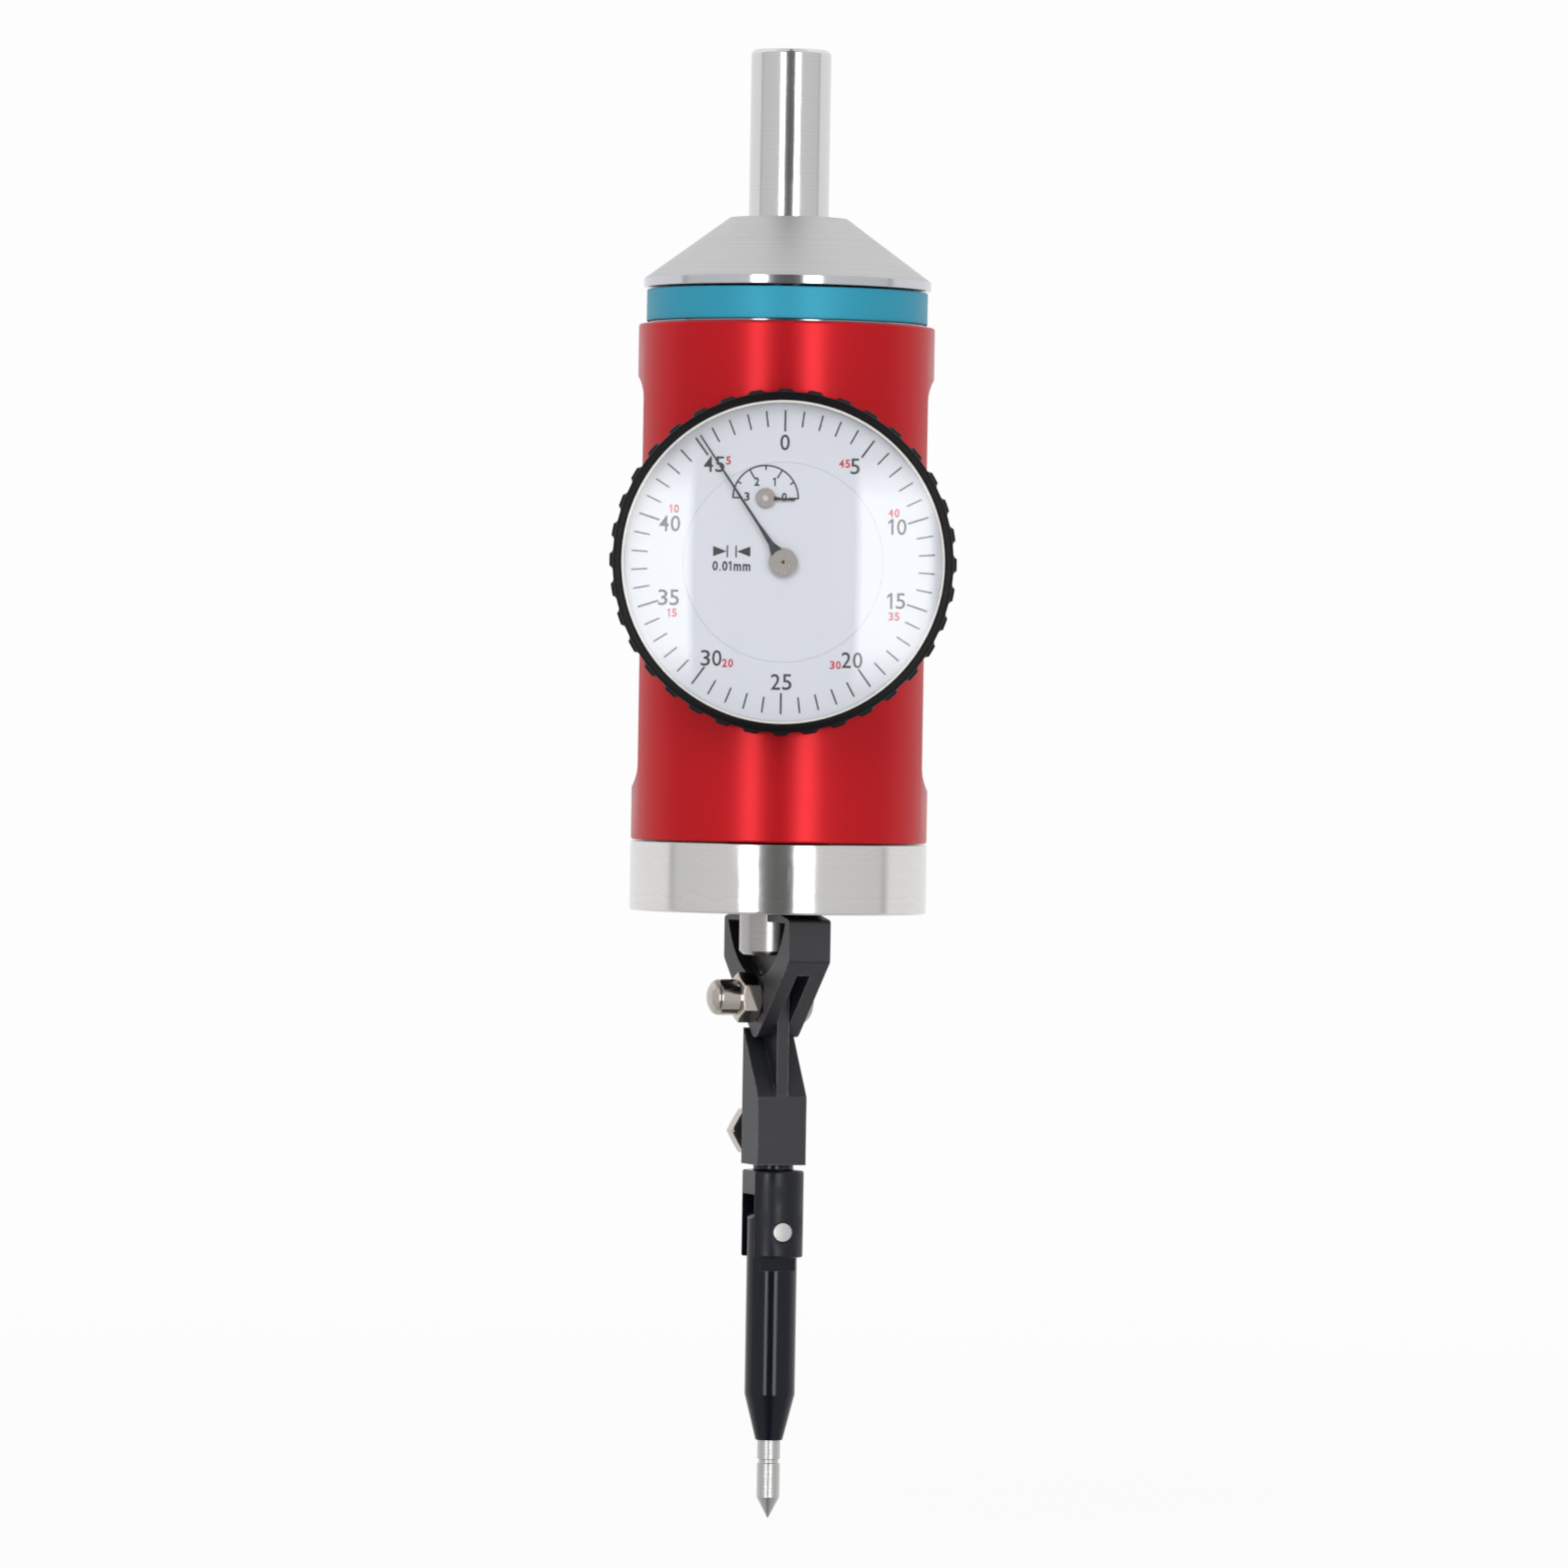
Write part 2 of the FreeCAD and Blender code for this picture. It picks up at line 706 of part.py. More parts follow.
def case_screw_places():
    """Return where the four case screws stand, right and up of the dial's centre."""
    return [around(case_inner_radius - S.case_screw_inset, angle) for angle in CASE_SCREW_ANGLES]


def around(radius, angle):
    """Return the point at an angle on a circle, right and up of its centre."""
    turn = math.radians(angle)
    return radius * math.cos(turn), radius * math.sin(turn)


def make_cover():
    """Make the blue cover ring that holds the upper bearing down, and the washer below it."""
    hole = S.cone_hub_diameter / 2 + S.rotor_gap
    spigot = seat_radius - S.running_clearance
    outer = S.cover_diameter / 2
    node(turned("cover_body", [
        (hole, upper_bearing_top + S.rotor_gap), (outer_ring_radius, upper_bearing_top + S.rotor_gap),
        (outer_ring_radius, upper_bearing_top), (spigot, upper_bearing_top),
        (spigot, cover_base), (outer, cover_base), (outer, cover_top), (hole, cover_top)]),
        "cover_ring")
    node(tube("washer_body", seat_radius, S.washer_diameter / 2, housing_top, cover_base),
         "steel_washer")


def make_plunger():
    """Turn the plunger's broad foot, and the rod that is pressed in it and runs up the spindle."""
    foot = S.foot_diameter / 2
    rod_base = foot_top - S.rod_in_foot
    node(turned("foot_body", [
        (0, foot_base), (foot - S.foot_chamfer, foot_base), (foot, foot_base + S.foot_chamfer),
        (foot, foot_top), (rod_radius, foot_top), (rod_radius, rod_base), (0, rod_base)]),
        "plunger")
    blank = cylinder("rod_blank", rod_radius, rod_top - rod_base, z=rod_base)
    hole = cylinder("pin_hole", S.cross_pin_diameter / 2, S.rod_diameter * 2,
                    -S.rod_diameter, ZERO, cross_pin_level, TO_RIGHT)
    node(cut("rod_body", blank, hole), "plunger_rod")


def make_collar():
    """Make the cross pin through the plunger rod and the collar that it lifts."""
    half = S.collar_diameter / 2 - S.cross_pin_inset
    pin = cylinder("cross_pin_body", S.cross_pin_diameter / 2, half * 2, -half, ZERO,
                   cross_pin_level, TO_RIGHT)
    node(pin, "cross_pin")
    blank = tube("collar_blank", spindle_radius + S.running_clearance * 2, S.collar_diameter / 2,
                 collar_base, collar_top)
    hole = cylinder("collar_hole", S.cross_pin_diameter / 2, half * 2, -half, ZERO,
                    cross_pin_level, TO_RIGHT)
    node(cut("collar_body", blank, hole), "lifting_collar")


def make_plunger_spring():
    """Wind the spring that presses the plunger's rod down."""
    radius = rod_radius - S.spring_wire
    spring = coil_spring(radius.value, S.spring_wire.value, S.spring_length.value,
                         int(S.spring_coils.value))
    node(place(solid("plunger_spring_body", spring), z=rod_top + S.spring_wire / 2),
         "plunger_spring")


def make_rack():
    """Make the sliding carrier above the collar and the rack that stands on it."""
    carrier_radius = S.collar_diameter / 2
    eye = spindle_radius + S.carrier_clearance
    ring = tube("carrier_ring", eye, carrier_radius, carrier_base, carrier_top)
    front = -S.rack_front
    margin = S.rack_width / 2
    arm_root = -(eye + carrier_radius) / 2
    arm = box("carrier_arm", (rack_side - margin, rack_side + S.rack_width + margin),
              (front, arm_root), (carrier_base, carrier_top))
    node(fuse("carrier_body", ring, arm), "rack_carrier")
    rack_top = counter_up - S.dial_drop + S.rack_above_arbor
    bar = box("rack_bar", (rack_side, rack_side + S.rack_width),
              (front, front + S.rack_thickness), (carrier_top, rack_top))
    module = rack_module.value
    pitch = math.pi * module
    arbor_level = (counter_up - S.dial_drop).value
    travel = S.measuring_travel.value
    reach = 2 * pitch
    count_low = -int((travel + reach) / pitch)
    count_high = int(reach / pitch)
    side = rack_side.value
    line = rack_pitch_line.value
    crest = line - RACK_TOOTH_RISE * module
    root_line = side + module / 4
    teeth = []
    for number in range(count_low, count_high + 1):
        middle = arbor_level + number * pitch
        corners = [(root_line, -TOOTH_ROOT), (side, -TOOTH_ROOT), (line, -TOOTH_PITCH),
                   (crest, -TOOTH_TIP), (crest, TOOTH_TIP), (line, TOOTH_PITCH),
                   (side, TOOTH_ROOT), (root_line, TOOTH_ROOT)]
        points = [FreeCAD.Vector(x, front.value, middle + share * pitch) for x, share in corners]
        face = Part.Face(Part.makePolygon(points + points[:1]))
        teeth.append(face.extrude(FreeCAD.Vector(0, S.rack_thickness.value, 0)))
    teeth_solid = solid("rack_teeth", teeth[0].multiFuse(teeth[1:]))
    node(fuse("rack_body", bar, teeth_solid), "rack")


def make_rack_guide():
    """Make the block behind the case floor that keeps the rack upright."""
    gap = S.running_clearance * 2
    high = -(S.dial_drop + S.guide_below_dial)
    low = high - S.guide_height
    half = S.guide_width / 2
    back = -(S.rack_front - S.rack_thickness) + S.guide_wall
    block = box("guide_block", (-half, half), (-case_back, back), (low, high))
    slot = box("guide_slot", (rack_side - gap, rack_side + S.rack_width + gap),
               (-(S.rack_front + gap), -(S.rack_front - S.rack_thickness - gap)),
               (low - gap, high + gap))
    node(cut("guide_body", block, slot), "rack_guide")


def make_gears():
    """Make the counter arbor with its rack pinion and wheel, and the pointer arbor's leaves."""
    arbor = S.arbor_diameter / 2
    back = S.rack_front - S.rack_thickness
    left = -counter_left
    stub = cylinder("counter_shaft", arbor, S.counter_pointer_back - back + S.pointer_thickness)
    pinion = gear_face(int(S.pinion_teeth.value), rack_module.value, 180 / S.pinion_teeth.value)
    pinion = solid("rack_pinion_teeth", pinion.extrude(FreeCAD.Vector(0, 0, S.rack_thickness.value)))
    in_dial(node(fuse("counter_arbor_body", stub, pinion), "counter_arbor"), back, left, counter_up)

    to_centre = math.degrees(math.atan2(-counter_up.value, counter_left.value))
    thick = S.wheel_thickness
    face = gear_face(int(S.wheel_teeth.value), wheel_module.value, to_centre)
    wheel = solid("wheel_teeth", face.extrude(FreeCAD.Vector(0, 0, thick.value)))
    rim = wheel_module * S.wheel_teeth / 2 - S.wheel_rim
    web = cylinder("wheel_recess", rim, thick)
    hub = cylinder("wheel_hub", S.wheel_hub_diameter / 2, thick)
    spokes = []
    for index in range(SPOKE_BARS):
        bar = box(f"wheel_bar_{index}", (-(rim + arbor), rim + arbor), (-arbor, arbor), (0, thick))
        spokes.append(group(f"wheel_spokes_{index}", [bar]))
        spokes[-1].Placement.Rotation = FreeCAD.Rotation(FreeCAD.Vector(0, 0, 1),
                                                         180 * index / SPOKE_BARS)
    ring = cut("wheel_ring", wheel, web)
    spoked = fuse("wheel_spoked", ring, hub, *spokes)
    bore = cylinder("wheel_bore", arbor, thick)
    wheel_body = cut("wheel_body", spoked, bore)
    in_dial(node(wheel_body, "counter_wheel"), S.wheel_front - thick, left, counter_up)

    leaves = int(S.leaf_count.value)
    face = gear_face(leaves, wheel_module.value, to_centre + 180 + 180 / leaves)
    leaf_solid = solid("pinion_leaves", face.extrude(FreeCAD.Vector(0, 0, S.leaf_length.value)))
    place(leaf_solid, z=S.wheel_front - (S.leaf_length + thick) / 2 - case_back)
    shaft = cylinder("pointer_shaft", arbor, S.pointer_back - case_back)
    in_dial(node(fuse("pointer_arbor_body", shaft, leaf_solid), "pointer_arbor"), case_back)


def make_case():
    """Make the dial case: a flanged cup whose floor carries the gear arbors."""
    flange_front = S.flange_back + S.flange_thickness
    blank = turned("case_blank", [
        (0, case_back), (case_radius, case_back), (case_radius, S.flange_back),
        (flange_radius, S.flange_back), (flange_radius, flange_front),
        (case_inner_radius, flange_front), (case_inner_radius, S.case_floor_front),
        (0, S.case_floor_front)])
    holes = arbor_holes("case", case_back, S.case_floor)
    screws = [cylinder(f"case_screw_hole_{index}", S.screw_diameter / 2, S.case_floor, right, up,
                       case_back) for index, (right, up) in enumerate(case_screw_places())]
    groove = torus("case_groove", bezel_bore, snap_groove(), snap_depth())
    in_dial(node(cut("case_body", blank, groove, *holes, *screws), "dial_case"))


def arbor_holes(name, low, depth):
    """Return the running holes of both arbors through a plate."""
    radius = S.arbor_diameter / 2 + S.running_clearance
    return [cylinder(name + "_centre_hole", radius, depth, ZERO, ZERO, low),
            cylinder(name + "_counter_hole", radius, depth, -counter_left, counter_up, low)]


def snap_depth():
    """Return how far forward the bezel's snap wire lies."""
    return S.flange_back + S.flange_thickness / 2


def snap_groove():
    """Return the radius of the groove that the snap wire lies in."""
    return S.snap_wire / 2 + S.running_clearance


def screw(label, right, up, head_back, length):
    """Make a cheese-head screw whose shank runs back from its head."""
    shank = cylinder(label + "_shank", S.screw_diameter / 2, length, right, up, head_back - length)
    head = cylinder(label + "_head", S.screw_head_diameter / 2, S.screw_head_height, right, up,
                    head_back)
    return fuse(label, shank, head)


def make_movement():
    """Make the pillars, the bridge, their screws, the dial feet and the fixed inner dial."""
    bridge_back = S.bridge_front - S.bridge_thickness
    screws = [screw(f"case_screw_{index}", right, up, S.case_floor_front, S.screw_length)
              for index, (right, up) in enumerate(case_screw_places())]
    in_dial(node(group("case_screw_set", screws), "case_screws"))
    pillars = []
    bridge_screws = []
    holes = arbor_holes("bridge", bridge_back, S.bridge_thickness)
    for index, angle in enumerate(PILLAR_ANGLES):
        right, up = around(bridge_radius - S.pillar_inset, angle)
        post = cylinder(f"pillar_post_{index}", S.pillar_diameter / 2,
                        bridge_back - S.case_floor_front, right, up, S.case_floor_front)
        tapping = cylinder(f"pillar_tapping_{index}", S.bridge_screw_diameter / 2,
                           S.pillar_diameter, right, up, bridge_back - S.pillar_diameter)
        pillars.append(cut(f"pillar_{index}", post, tapping))
        shank = cylinder(f"bridge_shank_{index}", S.bridge_screw_diameter / 2,
                         S.pillar_diameter + S.bridge_thickness, right, up,
                         bridge_back - S.pillar_diameter)
        head = cylinder(f"bridge_head_{index}", S.screw_head_diameter / 2, S.screw_head_height,
                        right, up, S.bridge_front)
        bridge_screws.append(fuse(f"bridge_screw_{index}", shank, head))
        holes.append(cylinder(f"bridge_hole_{index}", S.bridge_screw_diameter / 2,
                              S.bridge_thickness, right, up, bridge_back))
    in_dial(node(group("pillar_set", pillars), "movement_pillars"))
    in_dial(node(group("bridge_screw_set", bridge_screws), "bridge_screws"))
    plate = cylinder("bridge_plate", bridge_radius, S.bridge_thickness, ZERO, ZERO,
                     bridge_back)
    in_dial(node(cut("bridge_body", plate, *holes), "movement_bridge"))
    dial_back = S.dial_front - S.dial_thickness
    feet = []
    for index, angle in enumerate(DIAL_FOOT_ANGLES):
        right, up = around(inner_dial_radius - S.dial_foot_inset, angle)
        feet.append(cylinder(f"dial_foot_{index}", S.dial_foot_diameter / 2,
                             dial_back - S.bridge_front, right, up, S.bridge_front))
    in_dial(node(group("dial_foot_set", feet), "dial_feet"))
    disc = cylinder("inner_dial_disc", inner_dial_radius, S.dial_thickness, ZERO, ZERO, dial_back)
    eyes = [cylinder("dial_centre_eye", S.dial_hole_diameter / 2, S.dial_thickness, ZERO, ZERO,
                     dial_back),
            cylinder("dial_counter_eye", S.dial_hole_diameter / 2, S.dial_thickness,
                     -counter_left, counter_up, dial_back)]
    in_dial(node(cut("inner_dial_body", disc, *eyes), "inner_dial"))


def make_bezel():
    """Turn the bezel and scallop its grip, with its snap wire, outer dial, ring and crystal."""
    outer = S.bezel_diameter / 2
    seat = crystal_radius
    bore = bezel_bore
    lip = bore - S.bezel_lip_reach
    dial_back = S.dial_front - S.dial_thickness
    blank = turned("bezel_blank", [
        (bore, S.bezel_back), (outer - S.bezel_edge, S.bezel_back),
        (outer, S.bezel_back + S.bezel_edge), (outer, S.bezel_front - S.bezel_edge),
        (outer - S.bezel_edge, S.bezel_front), (seat, S.bezel_front), (seat, dial_back),
        (lip, dial_back), (lip, dial_back - S.bezel_lip),
        (bore, dial_back - S.bezel_lip)])
    groove = torus("bezel_groove", bore, snap_groove(), snap_depth())
    cutter = S.lobe_cutter_diameter / 2
    reach = outer + cutter - S.lobe_depth
    count = int(S.lobe_count.value)
    depth = S.bezel_front - S.bezel_back
    cutters = []
    for index in range(count):
        angle = 2 * math.pi * (index + 0.5) / count
        cutters.append(cylinder(f"lobe_cutter_{index}", cutter, depth, reach * math.cos(angle),
                                reach * math.sin(angle), S.bezel_back))
    scallops = group("lobe_cutters", cutters)
    in_dial(node(cut("bezel_body", blank, groove, scallops), "bezel"))
    wire = group("snap_wire_ring", [torus("snap_wire_torus", bore, S.snap_wire / 2, snap_depth())])
    in_dial(node(wire, "bezel_snap_wire"))
    in_dial(node(tube("outer_dial_body", seat - S.outer_dial_width, seat, dial_back,
                      S.dial_front), "outer_dial"))
    in_dial(node(tube("ring_body", seat - S.ring_wall, seat, S.dial_front, S.crystal_back),
                 "crystal_ring"))
    make_crystal()


def make_crystal():
    """Make the domed crystal, a shell between two spheres that seats on its ring."""
    edge_front = S.crystal_back + S.crystal_thickness
    rise = S.crystal_rise
    outer = (crystal_radius * crystal_radius + rise * rise) / (rise * 2)
    centre = edge_front + rise - outer
    drop = S.crystal_back - centre
    inner = root(crystal_radius * crystal_radius + drop * drop)
    disc = cylinder("crystal_disc", crystal_radius, S.crystal_thickness + rise,
                    z=S.crystal_back)
    ball = place(bind(doc.addObject("Part::Sphere", "crystal_outside"), Radius=outer), z=centre)
    hollow = place(bind(doc.addObject("Part::Sphere", "crystal_inside"), Radius=inner), z=centre)
    in_dial(node(cut("crystal_body", common("crystal_lens", disc, ball), hollow), "crystal"))


def spun(label, obj, angle):
    """Turn a piece about Z by an angle in degrees, as a Size."""
    held = group(label, [obj])
    held.Placement.Rotation = FreeCAD.Rotation(FreeCAD.Vector(0, 0, 1), angle.value)
    held.setExpression(".Placement.Rotation.Angle", angle.text)
    return held


def pointer(label, length, tail, width, tip, back, hub_radius, hub_height):
    """Make a tapered pointer with its hub, pressed on an arbor, pointing up before its turn."""
    thick = S.pointer_thickness
    blade = padded(label + "_blade", "XY_Plane", [
        (width / 2, 0), (tip / 2, length), (-tip / 2, length), (-width / 2, 0),
        (-width * POINTER_TAIL_SHARE, -tail), (width * POINTER_TAIL_SHARE, -tail)], thick)
    place(blade, z=back + thick / 2)
    hub = cylinder(label + "_hub", hub_radius, hub_height, ZERO, ZERO, back - thick)
    return fuse(label, blade, hub)


def make_pointers():
    """Make the long pointer and the small turns counter."""
    arbor = S.arbor_diameter / 2
    thick = S.pointer_thickness
    length = crystal_radius - S.pointer_short_of_bezel
    long_hand = pointer("long_pointer", length, S.pointer_tail, S.pointer_root_width,
                        S.pointer_tip_width, S.pointer_back, S.pointer_hub_diameter / 2,
                        S.pointer_hub_height)
    bore = cylinder("pointer_bore", arbor, thick * 2, z=S.pointer_back - thick * 2)
    turned_hand = spun("main_pointer_turned", cut("main_pointer_body", long_hand, bore),
                       S.pointer_turn)
    in_dial(node(group("main_pointer_set", [turned_hand]), "main_pointer"))
    small = pointer("small_pointer", S.counter_pointer_length, S.counter_pointer_tail,
                    S.pointer_root_width / 2, S.pointer_tip_width, S.counter_pointer_back,
                    S.counter_hub_diameter / 2, S.counter_hub_height)
    bore = cylinder("small_pointer_bore", arbor, thick * 2, z=S.counter_pointer_back - thick)
    turned_hand = spun("counter_pointer_turned", cut("counter_pointer_body", small, bore),
                       S.counter_pointer_turn - 90)
    in_dial(node(group("counter_pointer_set", [turned_hand]), "counter_pointer"), ZERO,
            -counter_left, counter_up)


def make_yoke():
    """Make the yoke: a flat plate with a round neck, a window for the lever and a sawn slot."""
    half = S.yoke_width / 2
    neck = S.yoke_neck_diameter / 2
    shoulder = head_base - S.yoke_shoulder_drop
    side_end = shoulder - S.yoke_side_height
    run = S.yoke_flank_run
    drop = S.yoke_flank_drop
    flank = root(run * run + drop * drop)
    tip = S.yoke_tip_radius
    tip_centre = side_end - (drop * half - tip * flank) / run
    contact_across = tip * drop / flank
    contact_down = tip_centre - tip * run / flank
    plate = padded("yoke_plate", "YZ_Plane", [
        (neck, head_base), (half - S.yoke_shoulder_drop, shoulder + S.yoke_shoulder_rise),
        (half, shoulder), (half, side_end), (contact_across, contact_down),
        (-contact_across, contact_down), (-half, side_end), (-half, shoulder),
        (-(half - S.yoke_shoulder_drop), shoulder + S.yoke_shoulder_rise),
        (-neck, head_base)], S.yoke_thickness)
    rounding = cylinder("yoke_tip", tip, S.yoke_thickness, -half_yoke, ZERO, tip_centre, TO_RIGHT)
    collar = cylinder("yoke_neck", neck, spindle_end - head_base, ZERO, ZERO, head_base)
    blank = fuse("yoke_blank", plate, rounding, collar)
    bore = cylinder("yoke_bore", S.foot_diameter / 2 + S.running_clearance * 2,
                    spindle_end - foot_base, ZERO, ZERO, foot_base)
    arc = cylinder("window_arc", S.window_radius, S.yoke_thickness * 2, -S.yoke_thickness, ZERO,
                   pivot_level + S.window_centre_above_pivot, TO_RIGHT)
    below = box("window_limit", (-S.yoke_thickness, S.yoke_thickness), (-half, half),
                (pivot_level, head_base - S.window_top_below_head))
    window = common("window", arc, below)
    slot = cylinder("saw_slot", S.saw_slot_radius, S.saw_slot_width, -S.saw_slot_width / 2, ZERO,
                    pivot_level, TO_RIGHT)
    hole = cylinder("yoke_pivot_hole", bolt_radius, S.yoke_thickness, -half_yoke, ZERO,
                    pivot_level, TO_RIGHT)
    in_linkage("yoke", cut("yoke_body", blank, bore, window, slot, hole))


def make_pivot():
    """Make the hexagon bolt that the lever swings on, and its acorn nut."""
    reach = S.yoke_thickness + S.bolt_end_in_nut
    shank = cylinder("bolt_shank", bolt_radius, reach, half_yoke, ZERO, pivot_level, TO_LEFT)
    head = hexagon("bolt_head", S.hex_flats, S.bolt_head_height, half_yoke + S.bolt_head_height,
                   ZERO, pivot_level, TO_LEFT)
    in_linkage("pivot_bolt", fuse("bolt_body", shank, head))
    flats = hexagon("nut_flats", S.hex_flats, S.nut_hex_height, -half_yoke - S.nut_hex_height,
                    ZERO, pivot_level, TO_RIGHT)
    barrel = cylinder("nut_barrel", S.acorn_diameter / 2, S.acorn_height, -half_yoke, ZERO,
                      pivot_level, TO_LEFT)
    crown = place(bind(doc.addObject("Part::Sphere", "nut_crown"), Radius=S.acorn_crown_radius),
                  S.acorn_crown_radius - half_yoke - S.acorn_height, ZERO, pivot_level)
    blank = fuse("nut_blank", flats, common("nut_cap", barrel, crown))
    bore = cylinder("nut_bore", bolt_radius, S.nut_bore_depth, -half_yoke, ZERO, pivot_level,
                    TO_LEFT)
    in_linkage("acorn_nut", cut("nut_body", blank, bore))


def make_lever():
    """Make the lever: a tongue with a fan that lifts the plunger, and a block for the feeler."""
    tongue = S.tongue_width / 2
    fan = S.fan_width / 2
    top = foot_base
    rim = top - S.fan_rim
    waist = pivot_level + S.fan_waist_above_pivot
    tongue_end = pivot_level - S.block_front_below_pivot - half_block
    blade = padded("lever_tongue", "YZ_Plane", [
        (fan, top), (-fan, top), (-fan, rim), (-tongue, waist), (-tongue, tongue_end),
        (tongue, tongue_end), (tongue, waist), (fan, rim)], S.tongue_thickness)
    block = padded("lever_block", "YZ_Plane", [
        (half_block, pivot_level - S.block_back_below_pivot), (half_block, block_base),
        (-half_block, block_base), (-half_block, pivot_level - S.block_front_below_pivot)],
        S.block_width)
    blank = fuse("lever_blank", blade, block)
    eye = cylinder("lever_eye", bolt_radius + S.running_clearance, S.tongue_thickness * 2,
                   -S.tongue_thickness, ZERO, pivot_level, TO_RIGHT)
    bore = cylinder("stem_bore", S.stem_diameter / 2 + S.running_clearance,
                    S.stem_length + S.neck_length, ZERO, ZERO, block_base)
    tapping = cylinder("clamp_tapping", bolt_radius, half_block, ZERO, ZERO,
                       block_base + S.clamp_screw_above_block_base, TO_BACK)
    in_linkage("lever", cut("lever_body", blank, eye, bore, tapping))


def make_clamp_screw():
    """Make the hexagon screw that clamps the feeler's stem in the lever."""
    level = block_base + S.clamp_screw_above_block_base
    start = S.stem_diameter / 2 + S.running_clearance * 2
    under_head = half_block + S.clamp_screw_stand_off
    shank = cylinder("clamp_shank", bolt_radius, under_head - start, ZERO, start, level, TO_BACK)
    head = hexagon("clamp_head", S.hex_flats, S.clamp_head_height, ZERO,
                   under_head + S.clamp_head_height, level, TO_FRONT)
    in_linkage("clamp_screw", fuse("clamp_body", shank, head))


def make_socket():
    """Turn the feeler socket, flatten its sides, slot it and drill it for the rivet."""
    stem = S.stem_diameter / 2
    neck = S.neck_diameter / 2
    radius = S.socket_diameter / 2
    edge = S.socket_edge
    stem_top = block_base + S.stem_length
    blank = turned("socket_blank", [
        (0, socket_base), (radius - edge, socket_base), (radius, socket_base + edge),
        (radius, neck_base - edge), (radius - edge, neck_base), (neck, neck_base),
        (neck, block_base - S.running_clearance), (stem, block_base - S.running_clearance),
        (stem, stem_top - edge), (stem - edge, stem_top), (0, stem_top)])
    flat = S.socket_flats / 2
    sides = [box("socket_side_right", (flat, radius), (-radius, radius), (socket_base, neck_base)),
             box("socket_side_left", (-radius, -flat), (-radius, radius), (socket_base, neck_base))]
    half = S.socket_slot_width / 2
    slot = box("socket_slot", (-radius, radius), (-half, half),
               (socket_base, socket_base + S.socket_slot_depth))
    hole = cylinder("socket_rivet_hole", S.rivet_diameter / 2, S.socket_diameter, ZERO, -radius,
                    rivet_level, TO_BACK)
    in_linkage("feeler_socket", cut("socket_body", blank, *sides, slot, hole))
    pin = cylinder("rivet_pin", S.rivet_diameter / 2, S.rivet_length, ZERO, -S.rivet_length / 2,
                   rivet_level, TO_BACK)
    in_linkage("socket_rivet", pin)


def make_probe():
    """Make the probe barrel with its tang, and the sprung centre point in its bore."""
    radius = S.barrel_diameter / 2
    mouth = S.barrel_mouth_diameter / 2
    bore = S.barrel_bore / 2
    throat = S.point_diameter / 2 + S.running_clearance
    tang_top = rivet_level + S.tang_radius
    blank = turned("barrel_blank", [
        (throat, barrel_base), (mouth, barrel_base), (radius, barrel_base + S.barrel_taper),
        (radius, tang_top), (0, tang_top), (0, barrel_bore_top), (bore, barrel_bore_top),
        (bore, throat_top), (throat, throat_top)])
    half = S.tang_thickness / 2
    cheeks = [box("tang_cheek_back", (-radius, radius), (half, radius), (barrel_shoulder, tang_top)),
              box("tang_cheek_front", (-radius, radius), (-radius, -half),
                  (barrel_shoulder, tang_top))]
    corners = box("tang_corners", (-radius, radius), (-radius, radius), (rivet_level, tang_top))
    crown = cylinder("tang_crown", S.tang_radius, S.barrel_diameter, ZERO, -radius, rivet_level,
                     TO_BACK)
    hole = cylinder("barrel_rivet_hole", S.rivet_diameter / 2 + S.running_clearance,
                    S.barrel_diameter, ZERO, -radius, rivet_level, TO_BACK)
    rounding = cut("tang_rounding", corners, crown)
    in_linkage("probe_barrel", cut("barrel_body", blank, *cheeks, rounding, hole))

    pin = S.point_diameter / 2
    shoulder = S.point_shoulder_diameter / 2
    shoulder_top = throat_top + S.point_shoulder_length
    cone_top = point_tip + S.point_cone
    groove_top = barrel_base - S.point_groove_drop
    groove_base = groove_top - S.point_groove_width
    floor = pin - S.point_groove_depth
    point = turned("point_body", [
        (0, point_tip), (S.point_tip_diameter / 2, point_tip), (pin, cone_top),
        (pin, groove_base), (floor, groove_base), (floor, groove_top), (pin, groove_top),
        (pin, throat_top), (shoulder, throat_top), (shoulder, shoulder_top), (0, shoulder_top)])
    in_linkage("centre_point", point)


def make_point_spring():
    """Wind the spring between the centre point's shoulder and the end of the barrel's bore."""
    low = throat_top + S.point_shoulder_length
    length = barrel_bore_top - low
    radius = S.barrel_bore / 2 - S.point_spring_wire
    spring = coil_spring(radius.value, S.point_spring_wire.value, length.value,
                         int(S.point_spring_coils.value))
    in_linkage("point_spring", place(solid("point_spring_body", spring),
                                     z=low + S.point_spring_wire / 2))


make_spindle()
make_cone()
make_bearing("upper", upper_bearing_base, upper_bearing_top)
make_bearing("lower", lower_bearing_base, lower_bearing_top)
make_circlips()
make_rotor_head()
make_housing()
make_cover()
make_plunger()
make_collar()
make_plunger_spring()
make_rack()
make_rack_guide()
make_gears()
make_case()
make_movement()
make_bezel()
make_pointers()
make_yoke()
make_pivot()
make_lever()
make_clamp_screw()
make_socket()
make_probe()
make_point_spring()
doc.recompute()

for item in doc.Objects:
    if "Invalid" in item.State or "Error" in item.State:
        raise RuntimeError(f"{item.Label} failed to rebuild: {item.State}")
for item in NODES:
    if item.Shape.isNull() or not item.Shape.isValid():
        raise RuntimeError(f"{item.Label} has no valid shape")

